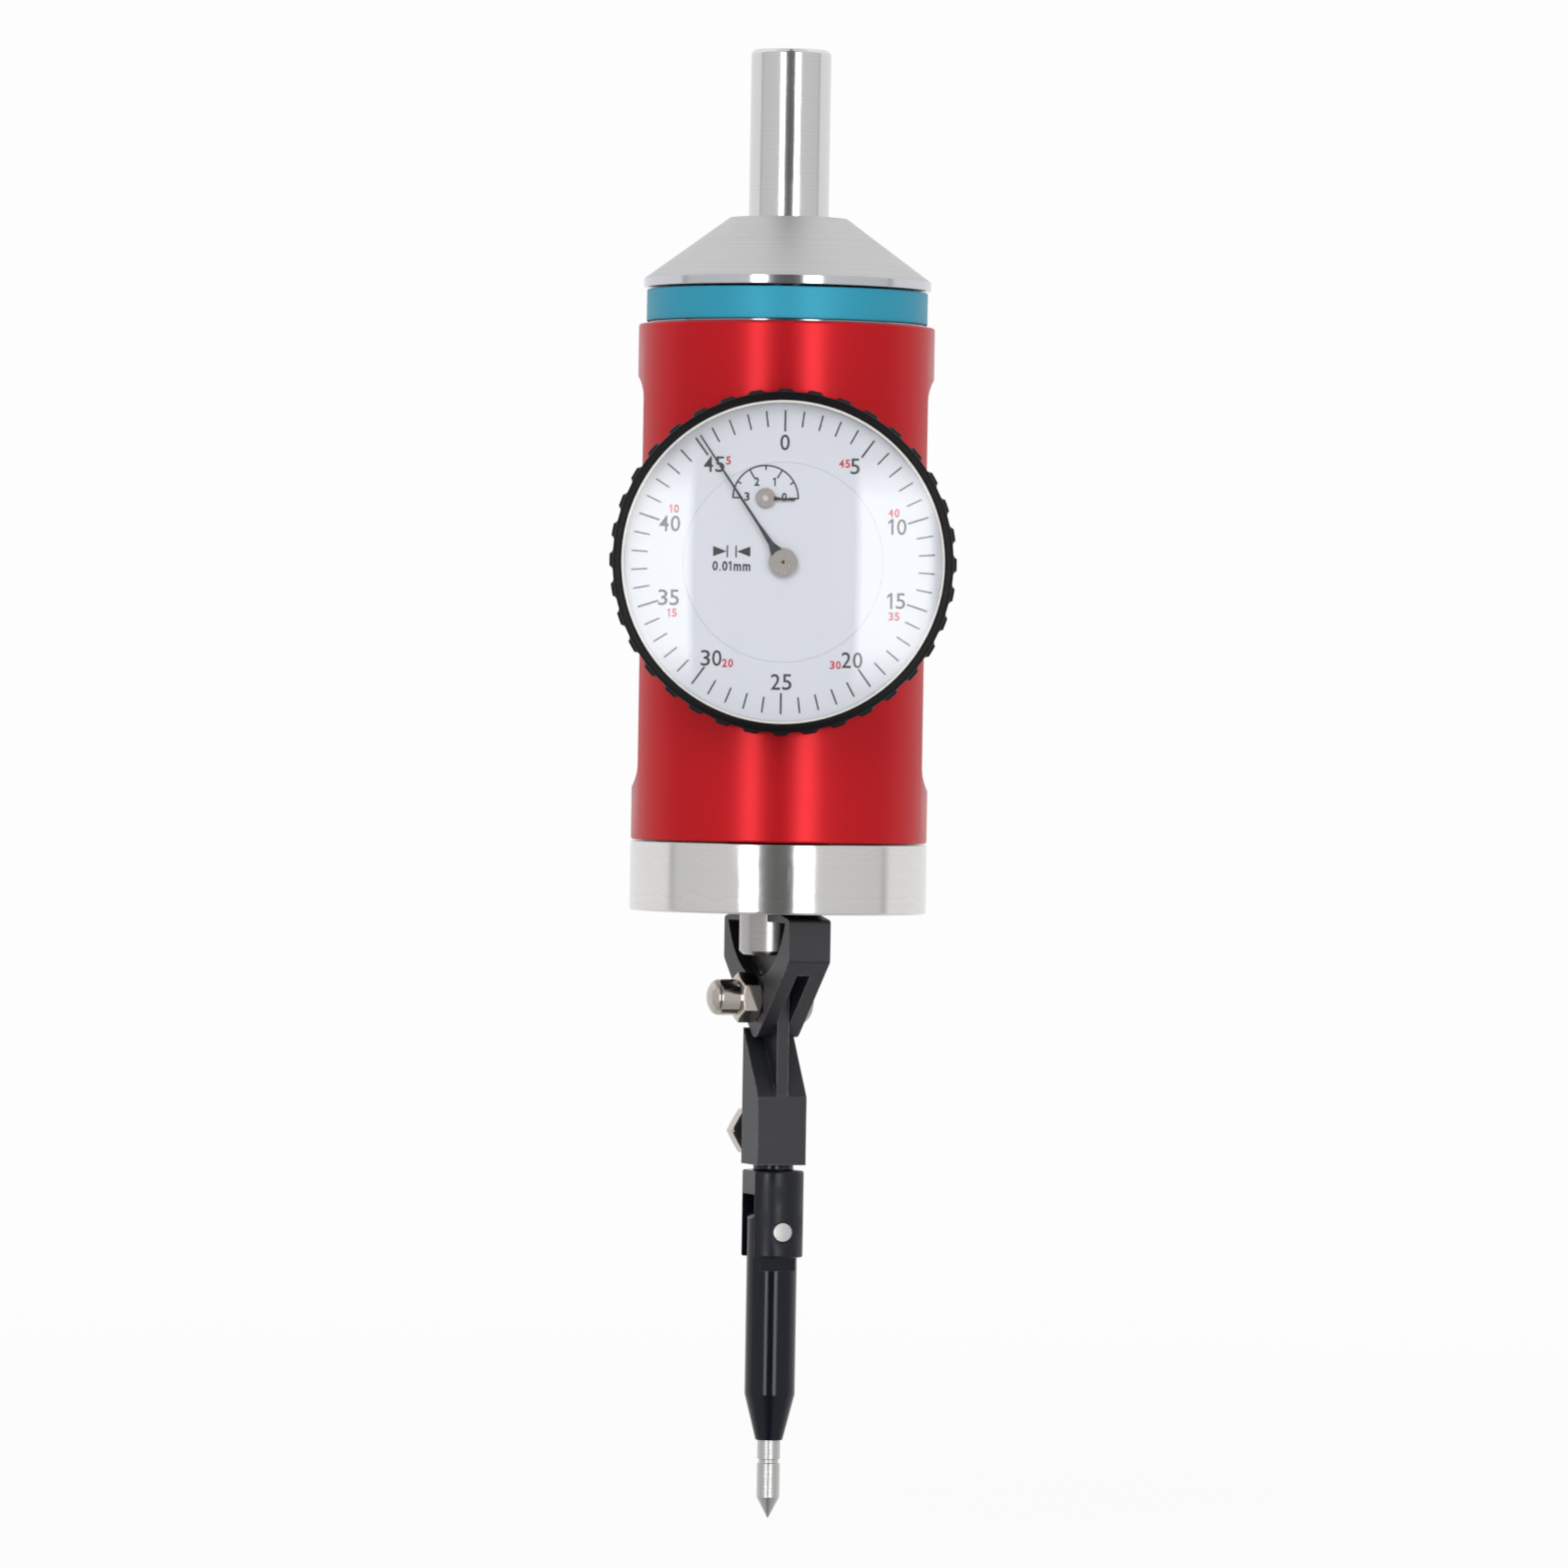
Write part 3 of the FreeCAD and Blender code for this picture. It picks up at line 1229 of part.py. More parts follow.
os.makedirs("parts", exist_ok=True)
for item in NODES:
    item.Shape.exportStep(f"parts/{item.Label}.step")
    corners = item.Shape.BoundBox
    print(f"{item.Label}: {len(item.Shape.Solids)} solid(s), {item.Shape.Volume:.2f} mm3,"
          f" z {corners.ZMin:.2f} to {corners.ZMax:.2f}")
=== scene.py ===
import logging
import math
from dataclasses import dataclass, field
from enum import Enum
from typing import Callable, Iterable, Sequence

import bmesh
import bpy
from mathutils import Matrix, Vector

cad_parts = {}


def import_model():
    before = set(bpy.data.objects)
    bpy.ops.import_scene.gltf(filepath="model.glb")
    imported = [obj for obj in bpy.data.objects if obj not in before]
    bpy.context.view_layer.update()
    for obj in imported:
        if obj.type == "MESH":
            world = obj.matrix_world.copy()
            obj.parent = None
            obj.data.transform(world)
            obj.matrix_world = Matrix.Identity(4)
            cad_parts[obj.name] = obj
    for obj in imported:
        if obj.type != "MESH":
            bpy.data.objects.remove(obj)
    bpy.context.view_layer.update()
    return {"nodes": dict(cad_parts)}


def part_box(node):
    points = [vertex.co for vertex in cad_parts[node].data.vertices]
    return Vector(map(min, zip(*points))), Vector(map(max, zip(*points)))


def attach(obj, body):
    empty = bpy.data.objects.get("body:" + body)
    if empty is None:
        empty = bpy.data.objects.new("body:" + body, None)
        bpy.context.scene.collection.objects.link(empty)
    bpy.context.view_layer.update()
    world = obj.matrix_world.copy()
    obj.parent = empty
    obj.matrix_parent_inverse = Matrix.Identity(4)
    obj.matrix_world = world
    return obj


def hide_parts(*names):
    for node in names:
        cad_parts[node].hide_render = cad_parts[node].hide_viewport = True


LOG = logging.getLogger("indicator")
MM = 0.001
DIAL_LEVEL = -0.055
PIVOT_LEVEL = -123.7 * MM
COUNTER_RIGHT = -2.8784 * MM
COUNTER_UP = 9.9077 * MM
LINKAGE_TURN = math.radians(20.0)
SEAM = 0.0004 * MM
WELD = 0.002 * MM
RELIEF = 0.02 * MM
ON_AXIS = 1e-9

Colour = tuple[float, float, float]
Profile = list[tuple[float, float]]


class Facing(Enum):
    """Where a piece made about its own Z axis points in the indicator."""

    READER = "reader"
    NUT_SIDE = "nut side"
    HEAD_SIDE = "head side"
    BACK = "back"


class Effect(Enum):
    """The shared surface effects, each a shader node group."""

    TURNING = "turning marks"
    GRAIN = "fine grain"
    WEAR = "edge wear"
    SMUDGE = "smudges"


def facing_matrix(facing: Facing) -> Matrix:
    """Return the rotation that turns +Z to a facing.

    Args:
        facing: The direction in which the piece's own +Z points.

    Returns:
        A 4 by 4 rotation matrix.
    """
    turns = {Facing.READER: (90, "X"), Facing.BACK: (-90, "X"), Facing.HEAD_SIDE: (90, "Y"),
             Facing.NUT_SIDE: (-90, "Y")}
    degrees, axis = turns[facing]
    return Matrix.Rotation(math.radians(degrees), 4, axis)


LINKAGE = Matrix.Rotation(LINKAGE_TURN, 4, "Z")
DIAL = Matrix.Translation((0, 0, DIAL_LEVEL)) @ facing_matrix(Facing.READER)


@dataclass
class NodeTree:
    """A thin helper over a shader node tree.

    Args:
        tree: The node tree that nodes and links are added to.
    """

    tree: bpy.types.NodeTree

    def node(self, kind: str, **settings: object) -> bpy.types.Node:
        """Add a node and set its properties.

        Args:
            kind: The node's type name without the ShaderNode prefix.
            settings: Properties of the node by name.

        Returns:
            The new node.
        """
        made = self.tree.nodes.new(kind if kind.startswith("Node") else "ShaderNode" + kind)
        for name, value in settings.items():
            setattr(made, name, value)
        return made

    def feed(self, socket: bpy.types.NodeSocket, source: object) -> None:
        """Link source into a socket, or set the socket's own value.

        Args:
            socket: The input that takes the value.
            source: An output socket, or a number or colour.
        """
        if isinstance(source, bpy.types.NodeSocket):
            self.tree.links.new(source, socket)
        elif source is not None:
            socket.default_value = source

    def math(self, operation: str, *values: object, clamp: bool = False) -> bpy.types.NodeSocket:
        """Add a Math node.

        Args:
            operation: The Math node's operation.
            values: Its inputs in order.
            clamp: Whether the result is held between 0 and 1.

        Returns:
            The result socket.
        """
        made = self.node("Math", operation=operation, use_clamp=clamp)
        for socket, value in zip(made.inputs, values):
            self.feed(socket, value)
        return made.outputs[0]

    def noise(self, vector: object, scale: float, detail: float = 3.0,
              roughness: float = 0.5) -> bpy.types.NodeSocket:
        """Add a Noise Texture and return its value.

        Args:
            vector: The coordinate, or None for the default.
            scale: Cells per metre.
            detail: Octaves.
            roughness: Weight of the finer octaves.

        Returns:
            The noise value's socket.
        """
        made = self.node("TexNoise")
        self.feed(made.inputs["Vector"], vector)
        self.feed(made.inputs["Scale"], scale)
        self.feed(made.inputs["Detail"], detail)
        self.feed(made.inputs["Roughness"], roughness)
        return made.outputs[0]

    def span(self, value: object, low: float, high: float, to_low: float,
             to_high: float) -> bpy.types.NodeSocket:
        """Map a value from one range to another, held at the ends.

        Args:
            value: The value to map.
            low: Start of the first range.
            high: End of the first range.
            to_low: What low becomes.
            to_high: What high becomes.

        Returns:
            The mapped value's socket.
        """
        made = self.node("MapRange")
        for socket, number in zip(made.inputs, (value, low, high, to_low, to_high)):
            self.feed(socket, number)
        return made.outputs[0]

    def mix(self, factor: object, first: object, second: object) -> bpy.types.NodeSocket:
        """Mix two colours.

        Args:
            factor: 0 gives the first, 1 the second.
            first: A colour or socket.
            second: A colour or socket.

        Returns:
            The mixed colour's socket.
        """
        made = self.node("Mix", data_type="RGBA")
        self.feed(made.inputs[0], factor)
        self.feed(made.inputs[6], first)
        self.feed(made.inputs[7], second)
        return made.outputs[2]


def rgba(colour: Colour) -> tuple[float, float, float, float]:
    """Return a colour with full opacity."""
    return (*colour, 1.0)


def blank_material(name: str) -> tuple[bpy.types.Material, NodeTree, bpy.types.Node]:
    """Start a material.

    Args:
        name: The material's name.

    Returns:
        The material, its nodes and its Principled shader.
    """
    material = bpy.data.materials.new(name)
    material.use_nodes = True
    shader = material.node_tree.nodes["Principled BSDF"]
    return material, NodeTree(material.node_tree), shader


def linked(name: str, data: bpy.types.ID) -> bpy.types.Object:
    """Put data in a new object of the scene.

    Args:
        name: The object's name.
        data: Its mesh, curve, lamp or camera.

    Returns:
        The new object.
    """
    made = bpy.data.objects.new(name, data)
    bpy.context.scene.collection.objects.link(made)
    return made


class Effects:
    """Builds each shared effect's node group once and places it in materials."""

    def __init__(self) -> None:
        """Start with no group built."""
        self.groups: dict[Effect, bpy.types.NodeTree] = {}

    def place(self, nodes: NodeTree, effect: Effect, **values: object) -> bpy.types.Node:
        """Place an effect's group in a material.

        Args:
            nodes: The material's nodes.
            effect: Which effect to place.
            values: The group's inputs by name, with underscores for spaces.

        Returns:
            The group node.
        """
        if effect not in self.groups:
            self.groups[effect] = self.build(effect)
        made = nodes.node("Group")
        made.node_tree = self.groups[effect]
        for name, value in values.items():
            nodes.feed(made.inputs[name.replace("_", " ")], value)
        return made

    def build(self, effect: Effect) -> bpy.types.NodeTree:
        """Build an effect's node group.

        Args:
            effect: Which effect to build.

        Returns:
            The new node group.
        """
        makers: dict[Effect, Callable[[NodeTree], None]] = {
            Effect.TURNING: self.turning, Effect.GRAIN: self.grain, Effect.WEAR: self.wear,
            Effect.SMUDGE: self.smudge}
        tree = bpy.data.node_groups.new(effect.value, "ShaderNodeTree")
        makers[effect](NodeTree(tree))
        return tree

    @staticmethod
    def sockets(nodes: NodeTree, inputs: dict[str, float], outputs: Sequence[str]
                ) -> tuple[bpy.types.Node, bpy.types.Node]:
        """Give a group its sockets.

        Args:
            nodes: The group's nodes.
            inputs: Float inputs by name with their defaults.
            outputs: Float outputs by name.

        Returns:
            The group's input and output nodes.
        """
        face = nodes.tree.interface
        for name, value in inputs.items():
            made = face.new_socket(name=name, in_out="INPUT", socket_type="NodeSocketFloat")
            made.default_value = value
        for name in outputs:
            face.new_socket(name=name, in_out="OUTPUT", socket_type="NodeSocketFloat")
        return nodes.node("NodeGroupInput"), nodes.node("NodeGroupOutput")

    def turning(self, nodes: NodeTree) -> None:
        """Fine tool marks that run round the spindle's axis.

        Args:
            nodes: The group's nodes.
        """
        gates, out = self.sockets(nodes, {"Pitch": 2500.0, "Unevenness": 0.35}, ("Height", "Tone"))
        place = nodes.node("TexCoord").outputs["Object"]
        parts = nodes.node("SeparateXYZ")
        nodes.feed(parts.inputs[0], place)
        level = nodes.math("MULTIPLY", parts.outputs[2], gates.outputs["Pitch"])
        drift = nodes.math("MULTIPLY", nodes.noise(place, 260.0, 2.0), gates.outputs["Unevenness"])
        lines = nodes.node("TexNoise", noise_dimensions="1D")
        nodes.feed(lines.inputs["W"], nodes.math("ADD", level, drift))
        nodes.feed(lines.inputs["Scale"], 1.0)
        nodes.feed(lines.inputs["Detail"], 4.0)
        nodes.feed(out.inputs["Height"], lines.outputs[0])
        nodes.feed(out.inputs["Tone"], nodes.span(lines.outputs[0], 0.3, 0.7, 0.0, 1.0))

    def grain(self, nodes: NodeTree) -> None:
        """Fine even grain, as blasting, oxide or anodising leaves.

        Args:
            nodes: The group's nodes.
        """
        gates, out = self.sockets(nodes, {"Scale": 5000.0}, ("Height", "Tone"))
        place = nodes.node("TexCoord").outputs["Object"]
        fine = nodes.noise(place, 1.0, 4.0, 0.6)
        nodes.feed(fine.node.inputs["Scale"], gates.outputs["Scale"])
        broad = nodes.noise(place, 220.0, 3.0)
        nodes.feed(out.inputs["Height"], fine)
        nodes.feed(out.inputs["Tone"], nodes.math("ADD", nodes.math("MULTIPLY", fine, 0.5),
                                                  nodes.math("MULTIPLY", broad, 0.5)))

    def wear(self, nodes: NodeTree) -> None:
        """A mask of rubbed edges, broken up by noise.

        Args:
            nodes: The group's nodes.
        """
        gates, out = self.sockets(nodes, {"Reach": 0.2 * MM, "Break Up": 900.0}, ("Mask",))
        soft = nodes.node("Bevel", samples=3)
        nodes.feed(soft.inputs["Radius"], gates.outputs["Reach"])
        flat = nodes.node("NewGeometry").outputs["Normal"]
        same = nodes.node("VectorMath", operation="DOT_PRODUCT")
        nodes.feed(same.inputs[0], soft.outputs[0])
        nodes.feed(same.inputs[1], flat)
        turned = nodes.math("SUBTRACT", 1.0, same.outputs["Value"])
        patchy = nodes.noise(nodes.node("TexCoord").outputs["Object"], 1.0, 3.0)
        nodes.feed(patchy.node.inputs["Scale"], gates.outputs["Break Up"])
        edge = nodes.span(turned, 0.02, 0.2, 0.0, 1.0)
        nodes.feed(out.inputs["Mask"], nodes.math("MULTIPLY", edge,
                                                  nodes.span(patchy, 0.35, 0.65, 0.1, 1.0)))

    def smudge(self, nodes: NodeTree) -> None:
        """Soft handling marks and fine scratches, for roughness.

        Args:
            nodes: The group's nodes.
        """
        gates, out = self.sockets(nodes, {"Amount": 0.08}, ("Rise",))
        place = nodes.node("TexCoord").outputs["Object"]
        film = nodes.span(nodes.noise(place, 90.0, 4.0, 0.6), 0.42, 0.7, 0.0, 1.0)
        squeeze = nodes.node("Mapping")
        nodes.feed(squeeze.inputs["Vector"], place)
        squeeze.inputs["Scale"].default_value = (1.0, 1.0, 0.06)
        squeeze.inputs["Rotation"].default_value = (0.5, 0.3, 0.2)
        scratches = nodes.span(nodes.noise(squeeze.outputs[0], 2600.0, 2.0), 0.66, 0.7, 0.0, 0.6)
        total = nodes.math("ADD", film, scratches)
        nodes.feed(out.inputs["Rise"], nodes.math("MULTIPLY", total, gates.outputs["Amount"]))


@dataclass(frozen=True)
class Finish:
    """A finish of the indicator, made with the Principled shader.

    Args:
        name: The material's name.
        colour: Its base colour.
        metallic: 1 for bare or anodised metal.
        roughness: The shader's roughness at its cleanest.
        tone: How far the colour varies over the surface.
        bump: Strength of its fine relief.
        turned: Whether tool marks run round the axis.
        waves: How far those marks wander.
        scale: Marks or grains per metre.
        worn: Colour of rubbed edges, or None.
        worn_reach: Width of the rubbed edges.
        smudge: How much handling marks add to the roughness.
        specular: Specular level of a dielectric.
        anisotropy: Stretch of reflections round the axis.
    """

    name: str
    colour: Colour
    metallic: float = 1.0
    roughness: float = 0.25
    tone: float = 0.08
    bump: float = 0.1
    turned: bool = False
    waves: float = 0.35
    scale: float = 4000.0
    worn: Colour | None = None
    worn_reach: float = 0.15 * MM
    smudge: float = 0.05
    specular: float = 0.5
    anisotropy: float = 0.0

    def build(self, effects: Effects) -> bpy.types.Material:
        """Make the material.

        Args:
            effects: The shared effects.

        Returns:
            The finished material.
        """
        material, nodes, shader = blank_material(self.name)
        relief = Effect.TURNING if self.turned else Effect.GRAIN
        size = ({"Pitch": self.scale, "Unevenness": self.waves} if self.turned
                else {"Scale": self.scale})
        marks = effects.place(nodes, relief, **size)
        dark = tuple(max(0.0, part * (1.0 - self.tone)) for part in self.colour)
        colour = nodes.mix(marks.outputs["Tone"], rgba(dark), rgba(self.colour))
        if self.worn:
            wear = effects.place(nodes, Effect.WEAR, Reach=self.worn_reach)
            colour = nodes.mix(wear.outputs["Mask"], colour, rgba(self.worn))
        nodes.feed(shader.inputs["Base Color"], colour)
        shader.inputs["Metallic"].default_value = self.metallic
        film = effects.place(nodes, Effect.SMUDGE, Amount=self.smudge)
        nodes.feed(shader.inputs["Roughness"],
                   nodes.math("ADD", film.outputs["Rise"], self.roughness, clamp=True))
        shader.inputs["Specular IOR Level"].default_value = self.specular
        shader.inputs["Anisotropic"].default_value = self.anisotropy
        bump = nodes.node("Bump")
        bump.inputs["Strength"].default_value = self.bump
        bump.inputs["Distance"].default_value = RELIEF
        nodes.feed(bump.inputs["Height"], marks.outputs["Height"])
        nodes.feed(shader.inputs["Normal"], bump.outputs[0])
        return material


@dataclass(frozen=True)
class Crystal:
    """The clear glass over the dial.

    Args:
        name: The material's name.
        index: Its index of refraction.
        sheen: Its specular level.
        dust: How far handling marks dull it.
        clean: Its colour where it is clean.
        dusty: Its colour under a mark.
    """

    name: str = "crystal_clear"
    index: float = 1.62
    sheen: float = 1.0
    dust: float = 0.012
    clean: Colour = (1.0, 1.0, 1.0)
    dusty: Colour = (0.8, 0.8, 0.8)

    def build(self, effects: Effects) -> bpy.types.Material:
        """Make the glass, which lets the lamps' light through to the dial.

        Args:
            effects: The shared effects.

        Returns:
            The finished material.
        """
        material, nodes, shader = blank_material(self.name)
        shader.inputs["Transmission Weight"].default_value = 1.0
        shader.inputs["IOR"].default_value = self.index
        shader.inputs["Specular IOR Level"].default_value = self.sheen
        film = effects.place(nodes, Effect.SMUDGE, Amount=self.dust)
        nodes.feed(shader.inputs["Base Color"],
                   nodes.mix(film.outputs["Rise"], rgba(self.clean), rgba(self.dusty)))
        shader.inputs["Roughness"].default_value = 0.0
        path = nodes.node("LightPath")
        passing = nodes.math("SUBTRACT", 1.0, path.outputs["Is Shadow Ray"])
        nodes.feed(shader.inputs["Alpha"], passing)
        return material


class Finishes:
    """Every finish of the indicator, each built when first used."""

    def __init__(self) -> None:
        """List the finishes by name."""
        self.effects = Effects()
        self.made: dict[str, bpy.types.Material] = {}
        steel: Colour = (0.80, 0.79, 0.775)
        self.kinds: dict[str, Finish | Crystal] = {kind.name: kind for kind in (
            Finish("ground_steel", (0.755, 0.75, 0.75), roughness=0.11, tone=0.06, bump=0.02,
                   turned=True, scale=5200.0, smudge=0.06, anisotropy=0.2),
            Finish("scored_steel", steel, roughness=0.095, tone=0.06, bump=0.5, turned=True,
                   waves=7.0, scale=1900.0, smudge=0.07, anisotropy=0.2),
            Finish("polished_band", (0.66, 0.675, 0.71), roughness=0.1, tone=0.05, bump=0.04,
                   turned=True, scale=3800.0, smudge=0.05),
            # shaded_band is polished_band's steel darkened: painted shade on the washer between the
            # blue ring and the housing
            Finish("shaded_band", (0.30, 0.31, 0.34), roughness=0.1, tone=0.05, bump=0.04,
                   turned=True, scale=3800.0, smudge=0.05),
            Finish("point_steel", (0.62, 0.61, 0.60), roughness=0.34, tone=0.12, bump=0.08,
                   turned=True, scale=5200.0, waves=1.0),
            Finish("turned_cone", (0.60, 0.60, 0.605), roughness=0.42, tone=0.1, bump=0.2,
                   turned=True, scale=4200.0, smudge=0.06),
            Finish("red_anodised", (0.47, 0.006, 0.011), metallic=0.5, roughness=0.29, tone=0.04,
                   bump=0.04, scale=7000.0, worn=(0.6, 0.1, 0.12), specular=0.3, smudge=0.01),
            Finish("foot_steel", (0.48, 0.465, 0.455), roughness=0.2, tone=0.08, bump=0.06,
                   turned=True, scale=4200.0),
            Finish("blue_anodised", (0.027, 0.265, 0.385), metallic=0.25, roughness=0.4, tone=0.06,
                   bump=0.05, turned=True, scale=3200.0, specular=0.25),
            Finish("black_oxide", (0.0115, 0.0125, 0.018), metallic=0.0, roughness=0.42, tone=0.5,
                   bump=0.9, scale=3300.0, worn=(0.16, 0.16, 0.17), worn_reach=0.3 * MM,
                   smudge=0.02, specular=0.6),
            Finish("gloss_black", (0.0025, 0.0035, 0.009), metallic=0.0, roughness=0.11, tone=0.2,
                   bump=0.03, scale=2600.0, worn=(0.05, 0.05, 0.055), specular=0.33),
            Finish("fork_black", (0.004, 0.005, 0.010), metallic=0.0, roughness=0.15, tone=0.3,
                   bump=0.14, scale=1500.0, worn=(0.08, 0.08, 0.085), smudge=0.35, specular=0.36),
            Finish("bezel_black", (0.003, 0.003, 0.004), metallic=0.0, roughness=0.33, tone=0.2,
                   bump=0.1, scale=3500.0, worn=(0.015, 0.015, 0.016), specular=0.2),
            Finish("case_black", (0.014, 0.014, 0.016), metallic=0.0, roughness=0.4, tone=0.2,
                   bump=0.15, scale=5000.0),
            Finish("bright_nickel", (0.58, 0.53, 0.48), roughness=0.08, tone=0.06, bump=0.03,
                   scale=3000.0, smudge=0.08),
            Finish("satin_nickel", (0.42, 0.385, 0.355), roughness=0.24, tone=0.2, bump=0.2,
                   scale=9000.0),
            Finish("satin_ring", (0.84, 0.82, 0.78), roughness=0.2, tone=0.06, bump=0.05,
                   scale=6000.0),
            Finish("dial_enamel", (0.73, 0.755, 0.82), metallic=0.0, roughness=0.45, tone=0.02,
                   bump=0.03, scale=6000.0, smudge=0.02, specular=0.3),
            Finish("ink_black", (0.018, 0.018, 0.024), metallic=0.0, roughness=0.5, tone=0.1,
                   bump=0.03, scale=8000.0, specular=0.2),
            Finish("ink_red", (0.62, 0.03, 0.06), metallic=0.0, roughness=0.5, tone=0.1,
                   bump=0.03, scale=8000.0, specular=0.2),
            Finish("brass", (0.68, 0.50, 0.22), roughness=0.25, tone=0.1, bump=0.1, scale=6000.0),
            Finish("bearing_steel", (0.62, 0.62, 0.62), roughness=0.18, tone=0.08, bump=0.06,
                   turned=True, scale=8000.0),
            Crystal())}

    def get(self, name: str) -> bpy.types.Material:
        """Return a finish's material, built on first use.

        Args:
            name: The finish's name.

        Returns:
            Its material.
        """
        if name not in self.made:
            self.made[name] = self.kinds[name].build(self.effects)
        return self.made[name]


@dataclass
class Workshop:
    """Dresses the pieces and gives them to the frame's bodies.

    Args:
        finishes: The finishes.
        names: The names of the pieces made so far.
    """

    finishes: Finishes
    names: list[str] = field(default_factory=list)

    def piece(self, name: str, mesh: bmesh.types.BMesh, finish: str, body: str,
              replaces: Sequence[str] = (), place: Matrix | None = None,
              crease: float = 32.0) -> bpy.types.Object:
        """Turn a bmesh into a finished piece of the indicator.

        Args:
            name: The piece's name.
            mesh: Its geometry, which is used up.
            finish: The name of its finish.
            body: The CAD body that it moves with.
            replaces: The CAD nodes that it stands for.
            place: Where the geometry goes in the row's frame.
            crease: Edges that bend more than this, in degrees, stay crisp.

        Returns:
            The new object.
        """
        if place is not None:
            mesh.transform(place)
        bmesh.ops.remove_doubles(mesh, verts=mesh.verts, dist=SEAM)
        bmesh.ops.recalc_face_normals(mesh, faces=mesh.faces)
        for face in mesh.faces:
            face.smooth = True
        limit = math.radians(crease)
        for edge in mesh.edges:
            if len(edge.link_faces) == 2:
                edge.smooth = edge.calc_face_angle(0.0) < limit
        data = bpy.data.meshes.new(name)
        mesh.to_mesh(data)
        mesh.free()
        made = linked(name, data)
        data.materials.append(self.finishes.get(finish))
        self.even_shading(made)
        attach(made, body)
        if replaces:
            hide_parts(*replaces)
        self.names.append(name)
        LOG.info("piece %s with %d faces", name, len(made.data.polygons))
        return made

    @staticmethod
    def even_shading(made: bpy.types.Object) -> None:
        """Let the larger faces rule the shading, so that flats stay flat beside their bevels.

        Args:
            made: The piece's object, which gets the new normals.
        """
        rule = made.modifiers.new("shading", "WEIGHTED_NORMAL")
        rule.mode = "FACE_AREA"
        rule.keep_sharp = True
        graph = bpy.context.evaluated_depsgraph_get()
        before = made.data
        made.data = bpy.data.meshes.new_from_object(made.evaluated_get(graph))
        made.modifiers.clear()
        bpy.data.meshes.remove(before)
        made.data.name = made.name

    def dress(self, node: bpy.types.Object, finish: str) -> None:
        """Give a CAD node a finish.

        Args:
            node: The CAD node's object.
            finish: The name of its finish.
        """
        node.data.materials.clear()
        node.data.materials.append(self.finishes.get(finish))


def rounded(corners: Sequence[tuple[float, float, float]], steps: int = 4,
            closed: bool = False) -> Profile:
    """Round the corners of an outline.

    Args:
        corners: Points with the radius of the rounding at each.
        steps: Segments in each rounding.
        closed: Whether the last corner joins the first.

    Returns:
        The outline's points.
    """
    points: Profile = []
    count = len(corners)
    for index, (across, up, radius) in enumerate(corners):
        here = Vector((across, up))
        ends = not closed and index in (0, count - 1)
        if radius <= 0.0 or ends:
            points.append((across, up))
            continue
        before = Vector(corners[index - 1][:2]) - here
        after = Vector(corners[(index + 1) % count][:2]) - here
        half = before.angle(after) / 2
        reach = min(radius / math.tan(half), before.length * 0.49, after.length * 0.49)
        start = here + before.normalized() * reach
        end = here + after.normalized() * reach
        for step in range(steps + 1):
            share = step / steps
            curve = start.lerp(here, share).lerp(here.lerp(end, share), share)
            points.append((curve.x, curve.y))
    return points


def lathe(profile: Profile, segments: int = 128,
          reach: Callable[[float, float, float], float] | None = None) -> bmesh.types.BMesh:
    """Turn an open profile about Z.

    Args:
        profile: (radius, height) points; ends at radius 0 are closed by a fan.
        segments: Steps round the axis.
        reach: A function of radius, height and angle that gives the radius there.

    Returns:
        The turned mesh.
    """
    mesh = bmesh.new()
    rings: list[list[bmesh.types.BMVert]] = []
    for radius, height in profile:
        if radius <= ON_AXIS:
            rings.append([mesh.verts.new((0.0, 0.0, height))])
            continue
        ring = []
        for step in range(segments):
            angle = 2 * math.pi * step / segments
            here = reach(radius, height, angle) if reach else radius
            ring.append(mesh.verts.new((here * math.cos(angle), here * math.sin(angle), height)))
        rings.append(ring)
    for low, high in zip(rings, rings[1:]):
        for step in range(segments):
            after = (step + 1) % segments
            if len(low) == 1 and len(high) == 1:
                continue
            if len(low) == 1:
                mesh.faces.new((low[0], high[step], high[after]))
            elif len(high) == 1:
                mesh.faces.new((low[step], low[after], high[0]))
            else:
                mesh.faces.new((low[step], low[after], high[after], high[step]))
    return mesh


def ring_of(profile: Profile) -> Profile:
    """Close a profile on itself, for a hollow turned piece."""
    return profile + profile[:1]


def slab(outline: Profile, low: float, high: float) -> bmesh.types.BMesh:
    """Extrude a closed outline along Z.

    Args:
        outline: Its points, in order.
        low: The lower face's height.
        high: The upper face's height.

    Returns:
        The solid mesh.
    """
    mesh = bmesh.new()
    below = [mesh.verts.new((x, y, low)) for x, y in outline]
    above = [mesh.verts.new((x, y, high)) for x, y in outline]
    mesh.faces.new(list(reversed(below)))
    mesh.faces.new(above)
    count = len(outline)
    for index in range(count):
        after = (index + 1) % count
        mesh.faces.new((below[index], below[after], above[after], above[index]))
    return mesh


def flat_shape(outlines: Sequence[Profile]) -> bmesh.types.BMesh:
    """Fill outlines in the plane Z = 0.

    Args:
        outlines: The points of each outline, in order.

    Returns:
        The flat mesh.
    """
    mesh = bmesh.new()
    for outline in outlines:
        mesh.faces.new([mesh.verts.new((x, y, 0.0)) for x, y in outline])
    return mesh


def rod(radius: float, low: float, high: float, segments: int = 96) -> bmesh.types.BMesh:
    """Make a plain closed cylinder about Z, as a cutting tool."""
    return lathe([(0.0, low), (radius, low), (radius, high), (0.0, high)], segments)


def block(low: Sequence[float], high: Sequence[float]) -> bmesh.types.BMesh:
    """Make a box between two corners, as a cutting tool."""
    outline = [(low[0], low[1]), (high[0], low[1]), (high[0], high[1]), (low[0], high[1])]
    return slab(outline, low[2], high[2])


